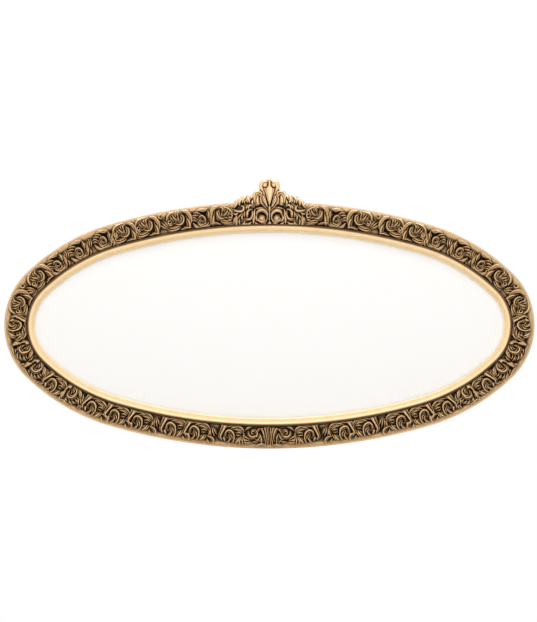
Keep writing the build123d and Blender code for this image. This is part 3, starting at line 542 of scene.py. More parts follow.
eyeSpiral = [
    ([(-7, 2), (2, 0), (10, -3)], (9, 12, 8), (4.5, 5.5, 4.5)),
    ([(-9.6, 1.4), (-11.8, 7), (-10.4, 13)], (1.0, 2.5, 1.2), (9.5, 12.5, 9), 0.25),
    ([(-4, -12.6), (-8.6, -9.6), (-11, -4.6), (-10.6, 0.2)], (0.6, 1.5, 1.9, 0.9), (7.5, 10, 11, 9)),
    ([(-11.1, 17.0), (-5.9, 16.4), (-0.4, 17.2), (4.4, 17.6)], (0.6, 1.3, 1.3, 0.6), (8, 10, 10, 8)),
    ([(-5.5, 1.7), (-2.6, 6.5), (2.4, 7), (6.7, 4.4), (8.9, -1.4), (8.8, -7.2), (5.2, -11), (-0.1, -12.4)],
     (0.8, 1.8, 2.0, 2.0, 2.0, 1.8, 1.5, 0.7), (10, 12.5, 13, 13, 13, 12, 11, 8)),
    ([(-0.5, -9.2), (2.8, -5.9), (3.1, -2.9)], (0.7, 1.6, 0.7), (9.5, 12.5, 9.5)),
    ([(6.3, -5.6), (5.4, -0.4), (2.1, 1.9), (-1, 2)], (0.6, 1.2, 1.2, 0.6), (9, 11, 11, 9)),
    ([(-4.4, -4), (-4.4, -0.6), (-2.6, 2.6)], (0.7, 1.3, 0.7), (9, 11.5, 9)),
    ([(-6.4, -8.8), (-5.8, -9.4)], (2.1, 2.0), (10.5, 10.5)),
    ([(10.1, -11.4), (14, -7.6), (17, -3.6), (18.4, -0.4)], (0.9, 2.6, 2.2, 0.8), (8, 11, 10, 7), 0.3),
    ([(-3.2, 10), (-1.6, 13), (2, 14.4)], (0.6, 1.3, 0.6), (8, 10, 7.5)),
    ([(2.4, 10.6), (5.4, 13.4), (10.3, 14.6)], (0.7, 1.6, 0.7), (9, 12, 8.5)),
    ([(6.7, 9), (10.6, 11), (15, 10.4)], (0.7, 1.5, 0.6), (9, 12, 8.5)),
    ([(10.6, 4.6), (15, 6.4), (19.3, 5.5)], (0.7, 1.6, 0.7), (9, 12, 8.5)),
    ([(11.6, 0.4), (15.2, 2.4), (19, 1.6)], (0.6, 1.3, 0.6), (8.5, 10.5, 7.5)),
    ([(20.4, 17), (22, 12.4), (25, 9)], (0.6, 1.3, 0.6), (7, 9.5, 7)),
    ([(24, 16), (25.4, 12), (28, 8.4)], (0.6, 1.2, 0.6), (7, 9, 7)),
    ([(19.6, -8.6), (21.6, -3.6), (22, 2)], (0.6, 1.5, 0.6), (7, 9.5, 7)),
    ([(-1.9, -4.6), (-1.2, -0.2)], (1.7, 1.7), (-8, -7)),
    ([(-7.4, 2.2), (-6.4, 8.4), (-4.6, 12.8)], (1.1, 1.6, 1.0), (-6, -7, -5)),
    ([(11.4, -3.4), (12.6, -0.6)], (1.1, 1.0), (-5, -5)),
]
eyeScroll = [
    ([(-6, 2), (4, 0)], (9, 9), (4.5, 4.5)),
    (spiral((0, 0), 8.2, 1.4, 200, -300),
     (0.8, 1.7, 2.0, 1.9, 1.6, 1.3, 0.9), (8, 11, 12.5, 12.5, 11.5, 11, 9.5)),
    ([(3.4, 3.2), (4.6, -1.4), (2.0, -4.4)], (0.7, 1.0, 0.7), (-5, -6, -5)),
    ([(-4.4, 1.6), (-3.4, -3.6)], (0.9, 0.8), (-6, -5)),
    ([(-17, 3), (-12, 6.8), (-6, 10)], (0.6, 1.6, 0.8), (6, 10, 7.5)),
    ([(-18, 8.6), (-12, 11.4), (-5, 12.8)], (0.6, 1.5, 0.7), (6, 10, 7)),
    ([(-16, 14.4), (-9, 15.6), (-1, 15.4)], (0.6, 1.4, 0.6), (6, 9.5, 6)),
    ([(-12, -4), (-9, -7.5), (-3, -9.6)], (0.6, 1.5, 0.6), (6, 9.5, 6.5)),
    ([(3, 10.6), (7.4, 9.6), (10, 5.6), (10.6, 1)], (0.6, 1.6, 1.4, 0.6), (7, 10, 10, 8)),
    ([(-2, 13.4), (5, 14), (9.6, 11)], (0.5, 1.2, 0.5), (6.5, 8.5, 6)),
]
hookCurl = [
    ([(-9, -6.4), (-3, -5.6), (1.4, -2.8), (2.9, 0.7), (1.4, 4.2)],
     (0.6, 1.3, 1.7, 1.6, 0.8), (6, 8.5, 9.5, 9, 6)),
    ([(-8, -2.4), (-6.6, 1.4), (-4, 4.4)], (0.6, 1.4, 0.6), (5.5, 8, 5.5)),
    ([(-1.8, 0.2), (-1.4, 1.2)], (1.9, 1.8), (-5, -5)),
]
smallCurl = [
    (spiral((0, 0), 4.2, 2.8, 60, 330), (0.7, 1.4, 1.4, 0.6), (5, 8.5, 8.5, 5.5)),
    ([(-0.3, 0), (0.3, 0)], (1.3, 1.3), (-4, -4)),
]
bladeSpray = [
    ([(-4.6, 7), (-3.6, 0), (-1, -8)], (0.5, 1.6, 0.5), (5, 9.5, 6)),
    ([(0.2, 8), (0.5, 0), (0.8, -8.5)], (0.5, 1.5, 0.5), (5, 10, 6)),
    ([(4.8, 6), (4.2, 0), (2.4, -8)], (0.5, 1.5, 0.5), (5, 9.5, 6)),
]
palmetteLeaves = [
    ([(0, -8), (0, 2), (0, 12)], (11, 9, 11), (5, 5, 4)),
    ([(2.7, -12.4), (1.7, -4), (1.6, 4), (2.5, 13)], (1.3, 1.2, 1.1, 1.0), (11, 12, 11.5, 8.5)),
    ([(6.6, -12.8), (4.7, -5), (4.4, 3), (5.6, 12.6)], (1.6, 1.4, 1.2, 1.1), (12, 12.5, 11.5, 8.5)),
    ([(11.6, -11.6), (9.6, -8.6), (8.0, -2.4), (7.6, 4), (8.6, 9)],
     (1.7, 2.0, 1.5, 1.2, 0.6), (11, 12.5, 12, 10.5, 8)),
    ([(15.4, -4.6), (13.4, 0), (12.0, 5), (12.2, 11.6)], (0.7, 1.6, 2.0, 1.0), (8, 11.5, 12.5, 8.5)),
    ([(6.4, 13.6), (11.4, 12.6), (17, 14), (21.8, 16)], (0.7, 1.5, 1.7, 0.8), (8, 10.5, 10.5, 7)),
    ([(14.6, 9.6), (17.4, 6.6), (21.6, 7.4)], (0.6, 1.4, 0.6), (6, 8.5, 6)),
    ([(16.8, 3.2), (19, -0.6), (21.8, -2)], (0.6, 1.3, 0.6), (6, 8.5, 6)),
    ([(14.2, -13), (17.6, -10.4), (18.8, -6)], (0.6, 1.5, 0.6), (7, 9.5, 6.5)),
    ([(0, -12.4), (0, 0), (0, 13)], (0.7, 0.5, 0.8), (-6, -5, -6)),
    ([(10.4, -2), (10.2, 4), (10.6, 9)], (0.8, 1.0, 0.7), (-6, -6, -5)),
]

# Where each motif sits: motif, length along the band from the end of the oval, offset across it, turn
upperRun = [
    (bladeSpray, 61.8, 26.0, 38), (bladeSpray, 311.6, 27.0, 34), (bladeSpray, 107.0, 24.0, 22),
    (bladeSpray, 225.0, 24.0, 16), (bladeSpray, 16.0, 27.0, 12), (bladeSpray, 265.6, 25.0, 24),
    (rosette, 36.6, 33.2, 0), (rosette, 88.9, 32.8, 4), (wave, 124.7, 28.8, 0), (wave, 165.5, 28.4, 0),
    (wave, 209.1, 29.0, -3), (rosette, 246.0, 32.8, -4), (rosette, 284.2, 33.6, 0), (rosette, 336.2, 33.8, 0),
    (wave, 374.0, 28.4, 4),
    (smallCurl, 308.6, 41.8, 0), (smallCurl, 61.4, 39.8, 20),
]
lowerRun = [
    (bladeSpray, 299.0, 26.0, -22), (bladeSpray, 392.0, 27.0, -22), (bladeSpray, 171.0, 30.0, -34),
    (bladeSpray, 20.6, 27.0, -20), (bladeSpray, 440.4, 38.0, -10), (bladeSpray, 97.8, 25.0, -16),
    (hookCurl, 217.8, 41.4, 0), (hookCurl, 257.4, 41.4, 0), (hookCurl, 297.0, 41.4, 0),
    (hookCurl, 351.6, 41.0, 0), (hookCurl, 391.2, 41.4, 0), (hookCurl, 144.6, 41.8, 0),
    (scroll, 2.1, 30.4, 0), (eyeSpiral, 40.2, 27.0, 0), (eyeSpiral, 78.1, 28.0, 6), (scroll, 117.4, 30.6, 0),
    (eyeSpiral, 150.0, 26.8, 0), (scroll, 191.6, 30.4, 2), (scroll, 231.0, 30.2, 0), (scroll, 269.8, 30.4, 0),
    (scroll, 324.6, 29.9, 0), (scroll, 363.2, 29.9, 0), (scroll, 420.6, 30.0, 2), (eyeScroll, 457.4, 25.2, 0),
]

# Small unevenness of the hand carving: degrees of turn, share of the size
uneven = {"seed": 7, "turn": 3.0, "size": 0.03}
handWork = np.random.default_rng(uneven["seed"])


def bandStrokes():
    strokes = []
    for run, lower in ((upperRun, False), (lowerRun, True)):
        for motif, length, offset, turn in run:
            wander = handWork.uniform(-uneven["turn"], uneven["turn"])
            size = handWork.uniform(1 - uneven["size"], 1 + uneven["size"])
            at = (-length if lower else length, offset)
            strokes += placed(motif, at, turn + wander, size, flipAlong=lower)
    # the unit beside the crest looks the other way
    return strokes + placed(rosette, (407.0, 33.2), 4, 0.98, flipAlong=True)


def gridMesh(along, across, surface, toPlan):
    # closed block under a height map: top grid, two long walls, two ends and a flat back
    count, rows = surface.shape
    x, z = toPlan(along[:, None], across[None, :])
    depth = relief["ground"] + surface
    top = np.stack([x, -depth, z], -1).reshape(-1, 3)
    foot = []
    for edge in (0, rows - 1):
        foot.append(np.stack([x[:, edge], np.full(count, -relief["ground"]), z[:, edge]], -1))
    points = np.vstack([top] + foot)
    first = count * rows
    i, j = np.meshgrid(np.arange(count - 1), np.arange(rows - 1), indexing="ij")
    a = (i * rows + j).ravel()
    faces = np.stack([a, a + 1, a + rows + 1, a + rows], -1).tolist()
    for k in range(count - 1):
        faces.append([k * rows, (k + 1) * rows, first + k + 1, first + k])
        outer = k * rows + rows - 1
        faces.append([outer, first + count + k, first + count + k + 1, outer + rows])
        faces.append([first + k, first + k + 1, first + count + k + 1, first + count + k])
    faces.append(list(range(rows)) + [first + count, first])
    last = (count - 1) * rows
    faces.append(list(range(last, last + rows))[::-1] + [first + count - 1, first + 2 * count - 1])
    return points, faces


def stripBase(along, across):
    # a low cushion that falls away to both edges
    share = (across - relief["inner"]) / (relief["outer"] - relief["inner"])
    rise = np.minimum(share, 1 - share) * relief["stripRise"]
    cushion = relief["strip"] * np.clip(rise, relief["stripEdge"], 1)
    return np.tile(cushion, (len(along), 1))


def carveStrip(along, strokes, darker, toPlan):
    across = np.arange(relief["inner"], relief["outer"] + 1e-6, relief["step"])
    surface = stripBase(along, across)
    flank = np.full(surface.shape, toning["open"])
    for stroke in strokes:
        layStroke(along, across, surface, flank, stroke)
    inset = np.minimum(across - relief["inner"], relief["outer"] - across)
    surface = np.minimum(surface, relief["wallFoot"] + inset[None, :] * relief["wallSlope"])
    umberAndPaintedShade, wearAndPaintedHighlight = rimLight(*paintedShadeAndHighlight(surface, flank, darker), surface, across[None, :])
    points, faces = gridMesh(along, across, surface, toPlan)
    foot = np.ones(2 * len(along))
    layers = {
        "umberAndPaintedShade": np.concatenate([umberAndPaintedShade.ravel(), foot]),
        "wearAndPaintedHighlight": np.concatenate([wearAndPaintedHighlight.ravel(), 0 * foot]),
    }
    return points, faces, layers


def bandPlan(along, across):
    return ovalPoint(bearingAt(along), across)


def carveBand(prefix, start, stop, strokes):
    count = max(8, int(round((stop - start) / relief["step"])))
    along = np.linspace(start, stop, count)
    points, faces, layers = carveStrip(along, strokes, toning["below"] * (along < 0)[:, None], bandPlan)
    mirrored = points * np.array([-1, 1, 1]), [face[::-1] for face in faces]
    for side, shape in (("right", (points, faces)), ("left", mirrored)):
        node = prefix + side
        makeMesh(node.replace("carved", "acanthus"), *shape, carvedGilding, replaced=[node],
                 slot="toned_gilding", attributes=layers, sharp=relief["sharp"])


def seamLengths(count, shoulder):
    # where two bands meet, midway between two swirls of the solids
    pitch = (quarterLength - shoulder) / count
    lengths = []
    for index in relief["seamAfter"]:
        bearing = bearingAt(np.array([pitch * index, pitch * (index + 1)])).mean()
        length = 0.0
        for first, last, _, _, radius in arcs:
            length += (radius + oval["bandMiddle"]) * math.radians(max(0.0, min(bearing, last) - first))
        lengths.append(length)
    return lengths


def carveBands():
    upperFirst, upperSecond = seamLengths(relief["upperCount"], relief["crestShoulder"])
    lowerFirst, lowerSecond = seamLengths(relief["lowerCount"], relief["palmetteShoulder"])
    strokes = bandStrokes()
    for prefix, start, stop in (
        ("carved_band_", -lowerFirst, upperFirst),
        ("carved_band_upper_", upperFirst, upperSecond),
        ("carved_band_top_", upperSecond, quarterLength - relief["crestHalf"]),
        ("carved_band_lower_", -lowerSecond, -lowerFirst),
        ("carved_band_bottom_", relief["palmetteHalf"] - quarterLength, -lowerSecond),
    ):
        carveBand(prefix, start + relief["seam"], stop - relief["seam"], strokes)


carveBands()
print("carved bands done")


# Palmette: the middle of the bottom, mirrored about its own centre line
def palmettePlan(along, across):
    bearing = np.degrees(along / (sideRadius + oval["bandMiddle"]))
    return ovalPoint(-90 + bearing, across)


def carvePalmette():
    half = relief["palmetteHalf"] - relief["seam"]
    along = np.linspace(-half, half, int(2 * half / relief["step"]))
    middle = (relief["inner"] + relief["outer"]) / 2
    # the round-eyed scrolls beside it reach in from both sides
    forms = placed(palmetteLeaves, (0, middle)) + placed(eyeScroll, (26.4, 25.2), flipAlong=True)
    strokes = []
    for points, *rest in forms:
        for hand in (1, -1):
            strokes.append(([(hand * a, b) for a, b in points], *rest))
    raised = [stroke for stroke in strokes[::-1] if stroke[2][0] >= 0]
    pits = [stroke for stroke in strokes if stroke[2][0] < 0]
    points, faces, layers = carveStrip(along, raised + pits, toning["below"], palmettePlan)
    makeMesh("palmette_leaves", points, faces, carvedGilding, replaced=["bottom_palmette"],
             slot="toned_gilding", attributes=layers, sharp=relief["sharp"])


carvePalmette()
print("palmette done")


# Crest, right half, mm from the centre line and above the middle of the oval
crest = {
    "reach": 57.9, "low": 160.0, "high": 238.0, "spare": 3.0,
    "hoodEdge": 26.4,                        # where the middle and the leaf sprays meet
    "scrollTop": 188.2, "scrollFall": 0.12,  # where cartouche and C-scrolls meet, and its slope
    "edge": 0.6,                             # board that shows round the forms
    "base": 0.8, "baseSlope": 1.5, "baseLeast": 0.5,         # ground between the forms
    "footHeight": 4.0, "roundTo": 15.5, "roundWithin": 5.0,  # how the forms fall away to the outline
    "lightFrom": 188.0, "lightTo": 218.0,    # heights over which the painted highlight grows towards the top
    "lightEdge": 4.0, "lightShare": 0.8,     # width of the painted highlight along the outer edge, and its share
    "edgeFrom": 42.0, "edgeOver": 6.0,       # offset from which that painted highlight begins, and over how much
    "unshadedEdge": 1.6, "unshadedFrom": 44.0,       # the very edge loses its painted shade
    # less painted shade and more painted highlight where the crest is painted lighter
    "lessFlankShade": 0.75, "lessShade": 0.12,
    "moreHighlight": 0.72, "leastHighlight": 0.65,
    "sliver": 0.03,                          # least part of a grid cell that the outline leaves
    "backGlaze": 0.25,
}
crestBoard = {"back": 12.0, "inset": 1.2, "from": 30.0, "half": 50.0, "umberAndPaintedShade": 0.3}
crestFinish = dict(carvedFinish, gold="#C9A275", wearAndPaintedHighlight="#FFE0B2")
crestGilding = gildedMaterial("gold leaf with painted shade and highlight on the crest", crestFinish)
cartoucheForms = [
    ([(4, 206), (5, 196)], (9, 6), (6, 6)),
    ([(8.6, 228.6), (8.4, 214)], (6.5, 6), (6, 6)),
    ([(20, 208), (20.5, 197)], (5, 4.4), (6, 6)),
    ([(0, 223), (0, 214), (0, 206)], (11, 8, 5), (9.5, 10, 9)),
    # tongue and the fin above it
    ([(0, 222.4), (0, 217), (0, 210), (0, 202), (0, 194.2)],
     (7.2, 6.8, 5.2, 3.0, 0.7), (12, 13.5, 15, 15, 12.5)),
    ([(0, 235.0), (0, 229), (0, 221)], (1.3, 1.4, 2.2), (13.5, 13.5, 13)),
    # volute with its ball
    ([(9.6, 212.6), (11.4, 217.4), (12.9, 222.0), (13.0, 226.6), (11.2, 230.6), (7.8, 232.4), (4.6, 231.6)],
     (0.9, 1.4, 1.9, 2.1, 2.1, 1.9, 0.9), (9, 11.5, 13, 13.5, 14, 14, 12.5)),
    ([(7.2, 227.5), (7.6, 227.3)], (4.3, 4.2), (15.5, 15.5)),
    ([(2.7, 234.4), (2.5, 229.6), (3.4, 225.0), (6.4, 222.3), (10.2, 222.8)], (0.5, 0.7, 0.9, 1.0, 0.5),
     (-6, -8, -8, -8, -5)),
    ([(14.6, 219.6), (12, 216.2), (11.2, 212.4)], (0.8, 1.0, 0.9), (-6, -7, -6)),
    # shell with its rim, which runs on as a stem
    ([(9.8, 208.6), (9.0, 203), (6.6, 197.4), (3.4, 191.6)], (1.6, 4.0, 3.3, 1.2), (10, 12, 12, 10.5)),
    ([(8.6, 219.2), (7.1, 213.4), (4.9, 205.4), (3.0, 199), (1.7, 194)],
     (0.5, 0.8, 1.0, 1.0, 0.7), (-5, -7, -9, -9, -6)),
    ([(11.0, 210.8), (13.6, 207.6), (14.4, 203.2), (13.2, 198.8), (10.2, 194.6), (6, 189.8), (1.8, 185.6)],
     (0.6, 0.8, 0.9, 0.9, 0.8, 0.8, 0.7), (10.5, 12.5, 13, 13, 12.5, 12, 10)),
    ([(7.6, 206.8), (10, 203.4), (12, 200.4)], (0.4, 0.5, 0.4), (-2, -3, -2)),
    ([(6.8, 203.2), (9, 199.8), (10.8, 197.2)], (0.4, 0.5, 0.4), (-2, -3, -2)),
    ([(5.6, 199.2), (7.6, 196.2), (9, 194.2)], (0.4, 0.5, 0.4), (-2, -3, -2)),
    ([(0, 192.6), (0, 189.6), (0, 186.4)], (0.8, 1.9, 1.2), (12, 13.5, 12)),
    # hood
    ([(15.4, 210.2), (12.9, 212.6), (13.6, 215.3), (17.4, 216.4), (21.3, 216.0), (24, 213.2), (24.9, 209),
      (24.4, 203.4), (23.4, 198)],
     (0.8, 1.1, 1.3, 1.4, 1.4, 1.4, 1.3, 1.2, 0.7), (9, 11, 12.5, 13.5, 13.5, 13, 12, 11, 8)),
    ([(16.4, 211.2), (18.2, 213.2), (20.8, 212.6), (22.2, 209), (22.3, 203)], (0.7, 1.0, 1.1, 1.0, 0.6),
     (10, 12, 12, 11.5, 9)),
    ([(19.0, 210), (19.6, 205.6), (20.0, 201), (18.6, 196.4)], (1.0, 2.2, 2.6, 1.8), (8.5, 10, 10.5, 8)),
    ([(17.2, 209.6), (16.9, 204), (16.4, 198.4)], (0.5, 0.8, 0.6), (-4, -5, -4)),
]
scrollForms = [
    ([(12, 176), (10, 172)], (11, 9), (5, 5)),
    # the C: a bold arch that runs down beside the middle and under the ball
    ([(20.3, 178.4), (19.4, 182.4), (16.4, 185.2), (12.2, 186.3), (8, 185.0), (4.6, 181.4), (3.2, 177),
      (3.5, 172.2), (6.2, 167.8), (11, 166.2), (15.4, 167.6)],
     (0.8, 1.6, 2.2, 2.4, 2.1, 1.6, 1.2, 1.2, 1.3, 1.3, 0.7),
     (10, 13, 14.5, 15, 14.5, 13, 12, 11.5, 11.5, 11, 9)),
    ([(7.4, 172.0), (9.2, 169.4), (13.0, 168.4), (16.8, 169.8), (18.2, 172.8)], (0.9, 1.6, 1.8, 1.6, 0.9),
     (10, 12, 12.5, 12, 10)),
    ([(12.0, 173.2), (12.4, 173.0)], (5.8, 5.7), (14.4, 14.4)),
    ([(20.9, 178), (21.8, 173.8), (20.6, 170.2), (18.0, 168.8)], (0.7, 1.6, 1.5, 0.7), (9, 11.5, 11, 9)),
    ([(19.0, 178.4), (16.8, 180.6), (13, 181.2), (9.2, 179.8), (6.4, 176.6)], (0.7, 1.7, 2.1, 1.7, 0.7),
     (-8, -11, -12, -11, -7)),
    ([(0, 187.4), (0, 178), (0, 170)], (1.1, 1.1, 0.9), (11, 11.5, 10)),
    ([(1.9, 186.6), (1.9, 178), (3.0, 171), (6.0, 166.3), (12, 165.0)],
     (0.4, 0.5, 0.6, 0.6, 0.4), (-4, -5, -5, -5, -4)),
    ([(0, 167.4), (0, 163.6), (0, 161.2)], (0.9, 2.6, 3.2), (10, 10, 8)),
    ([(5.6, 165.4), (11, 163.6), (14.4, 163.2)], (0.6, 1.6, 0.7), (7, 10, 7)),
    ([(16.6, 163.2), (20.8, 164.2), (23.2, 167)], (0.6, 1.6, 0.7), (7, 10, 7)),
    ([(23.8, 187), (24.9, 181.4), (24.7, 176.6), (25.6, 171), (26, 165.4)],
     (0.7, 1.5, 1.8, 1.9, 0.9), (8, 10.5, 10.5, 10.5, 7.5)),
    ([(3.6, 186.8), (9.4, 190), (16, 189.8), (22.6, 188)], (0.5, 0.9, 1.1, 0.5), (7.5, 9, 9, 7)),
]
leafForms = [
    ([(30, 196), (44, 190), (55, 184)], (10, 9, 6), (4.5, 5, 4)),
    ([(32, 172), (52, 170)], (9, 8), (4.5, 4.5)),
    ([(26.8, 208.4), (29.5, 207.2), (30.8, 203.6)], (0.8, 1.5, 0.8), (8.5, 10.5, 8)),
    ([(33.0, 208.0), (34.2, 205.2), (33.9, 202), (32.4, 199)], (1.6, 2.3, 2.0, 0.9), (11, 13, 12, 9)),
    ([(37, 206), (37.3, 202.6), (35.6, 198.6)], (0.7, 1.2, 0.6), (9.5, 11, 8)),
    ([(39.8, 207), (42.2, 205), (43.8, 202), (43.6, 198.6)], (1.5, 2.2, 2.0, 0.8), (11, 13, 12, 8.5)),
    ([(38.4, 203.6), (40.2, 200.4), (40.2, 196.8)], (0.6, 1.2, 0.6), (9, 10.5, 8)),
    ([(45.6, 204.2), (48.2, 201.8), (49.4, 198), (48.6, 193.6)],
     (1.3, 2.1, 1.7, 0.7), (10.5, 12.5, 11.5, 8)),
    ([(50.6, 201.4), (53.2, 198.2), (55, 194), (57, 190.6)], (1.2, 2.0, 1.7, 0.8), (10, 12, 11, 7.5)),
    ([(54.6, 198), (56.6, 195.6), (57.6, 192.6)], (0.9, 1.4, 0.8), (8.5, 9.5, 7)),
    ([(27.8, 193.2), (31.6, 194.4), (34.4, 190.6), (33.8, 187.8)], (0.7, 1.5, 1.5, 0.7), (8, 10.5, 10, 8)),
    ([(35.2, 194.4), (37.4, 190.4), (38.2, 187.4)], (0.6, 1.5, 0.7), (8, 10, 7.5)),
    ([(26.8, 203), (28, 198.6), (27.2, 194.4)], (0.7, 1.5, 0.7), (8, 10, 7)),
    ([(45.6, 193), (42.6, 191.4), (42.2, 188), (44.2, 185.4), (48.4, 184.5), (53.9, 185.2), (57.4, 187)],
     (0.7, 1.5, 1.8, 1.9, 1.8, 1.6, 0.7), (9, 11.5, 12.5, 12.5, 12, 10.5, 7.5)),
    ([(28.2, 187.6), (32.4, 187), (35.4, 184.2), (36.5, 180), (36.3, 175.4)],
     (0.7, 1.2, 1.6, 1.9, 0.9), (8.5, 11, 12.5, 14, 9.5)),
    ([(40.0, 184), (41.2, 179.5), (40.4, 175.2)], (0.6, 1.3, 0.6), (9, 11.5, 8.5)),
    ([(43.4, 180), (44.8, 174.7), (43.8, 169.6)], (0.6, 1.4, 0.6), (8.5, 11, 8)),
    ([(28.0, 184.6), (27.6, 179), (29.6, 173.6), (34, 171.6), (38.6, 172.6)],
     (0.7, 1.2, 1.5, 1.5, 0.7), (8, 10, 10.5, 10, 8)),
    ([(30.6, 184.2), (31.6, 180), (32.4, 175.8)], (1.5, 2.3, 1.5), (-8, -9, -8)),
    ([(30.6, 168.4), (35, 167.2), (39.2, 168.6)], (0.8, 1.2, 0.8), (-5, -6, -5)),
    ([(29.6, 166.6), (34.4, 163.4), (40.4, 164)], (0.7, 1.6, 0.8), (7.5, 10, 8)),
    ([(40.2, 168.4), (41.4, 165), (44.6, 163)], (0.6, 1.3, 0.6), (8, 10, 7)),
    ([(44.6, 181.4), (49.1, 176.1), (52, 172.4)], (0.6, 1.1, 0.7), (9, 12, 10)),
    ([(53.2, 177), (53.7, 170), (53.2, 162)], (0.8, 2.1, 1.2), (10, 13, 9), 0.2),
    ([(48.4, 172.4), (49.2, 167.4), (48, 162.6)], (0.6, 1.4, 0.7), (8, 10, 7)),
    ([(55.6, 174.4), (57.4, 169), (57.8, 164)], (0.7, 1.5, 0.8), (9, 11, 7)),
    ([(50.6, 182.2), (54.4, 179.6), (57.6, 180.2)], (0.6, 1.5, 0.7), (8, 10.5, 8)),
    ([(40.6, 196.4), (43.4, 195.4)], (1.4, 1.4), (-5, -5)),
]


def crestMaps():
    reach = crest["reach"] + crest["spare"]
    across = np.arange(-reach, reach + 1e-6, relief["step"])
    across -= across.mean()
    up = np.arange(crest["low"], crest["high"], relief["step"])
    gridX, gridZ = np.meshgrid(across, up, indexing="ij")
    radius = np.hypot(gridX, gridZ - sideCentre) - sideRadius          # offset from the sight edge
    inBand = np.minimum(radius - relief["inner"], relief["outer"] - radius)
    ground = np.clip(inBand * crest["baseSlope"], crest["baseLeast"], relief["strip"])
    surface = np.where(inBand > 0, np.maximum(crest["base"], ground), crest["base"])
    flank = np.full(surface.shape, toning["open"])
    outlineMap = np.maximum(-9.0, inBand)                              # mm inside the outline
    for forms in (leafForms, scrollForms, cartoucheForms):
        for points, *rest in forms:
            for hand in (1, -1):
                stroke = ([(hand * a, b) for a, b in points], *rest)
                layStroke(across, up, surface, flank, stroke, outlineMap, crest["edge"])
    outlineMap = np.minimum(outlineMap, radius - relief["inner"])
    # above the wood the forms round off to their outline
    inward = np.sqrt(np.clip(outlineMap / crest["roundWithin"], 0, 1))
    limit = crest["footHeight"] + (crest["roundTo"] - crest["footHeight"]) * inward
    surface = np.where(radius > relief["outer"], np.minimum(surface, limit), surface)
    return across, up, gridX, gridZ, surface, flank, outlineMap, radius


def reliefPatch(across, up, surface, inside, layers, back):
    # closed block whose outline is where the inside map crosses zero, cut through each cell of the grid
    inside[0, :] = inside[-1, :] = inside[:, 0] = inside[:, -1] = -1
    positive = inside > 0
    points, values = [], {key: [] for key in layers}
    gridIndex = -np.ones(inside.shape, int)
    edgeIndex = {}

    def addPoint(x, z, depth, weights):
        points.append((x, -(relief["ground"] + depth), z))
        for key, layer in layers.items():
            values[key].append(sum(share * layer[cell] for cell, share in weights))
        return len(points) - 1

    def crossing(a, b):
        key = (a, b) if a < b else (b, a)
        if key not in edgeIndex:
            share = inside[key[0]] / (inside[key[0]] - inside[key[1]])
            share = min(max(share, crest["sliver"]), 1 - crest["sliver"])
            weights = [(key[0], 1 - share), (key[1], share)]
            x = sum(s * across[c[0]] for c, s in weights)
            z = sum(s * up[c[1]] for c, s in weights)
            depth = surface[key[0] if positive[key[0]] else key[1]]
            edgeIndex[key] = addPoint(x, z, depth, weights)
        return edgeIndex[key]

    for i, j in zip(*np.nonzero(positive)):
        gridIndex[i, j] = addPoint(across[i], up[j], surface[i, j], [((i, j), 1.0)])
    faces, rim = [], []
    total = positive[:-1, :-1].astype(int) + positive[1:, :-1] + positive[1:, 1:] + positive[:-1, 1:]
    for i, j in zip(*np.nonzero(total > 0)):
        corners = [(i, j), (i + 1, j), (i + 1, j + 1), (i, j + 1)]
        if total[i, j] == 4:
            faces.append([gridIndex[c] for c in corners])
            continue
        loop, leaving = [], []
        for a, b in zip(corners, corners[1:] + corners[:1]):
            if positive[a]:
                loop.append(gridIndex[a])
            if positive[a] != positive[b]:
                if positive[a]:
                    leaving.append(len(loop))
                loop.append(crossing(a, b))
        faces.append(loop)
        rim += [(loop[where], loop[(where + 1) % len(loop)]) for where in leaving]
    count = len(points)
    points = np.array(points)
    behind = points.copy()
    behind[:, 1] = -back
    backFaces = [[count + k for k in face[::-1]] for face in faces]
    walls = [[b, a, count + a, count + b] for a, b in rim]
    attributes = {}
    for key, inFront in values.items():
        onBack = crest["backGlaze"] if key == "umberAndPaintedShade" else 0.0
        attributes[key] = np.concatenate([inFront, np.full(count, onBack)])
    return np.vstack([points, behind]), faces + walls + backFaces, attributes


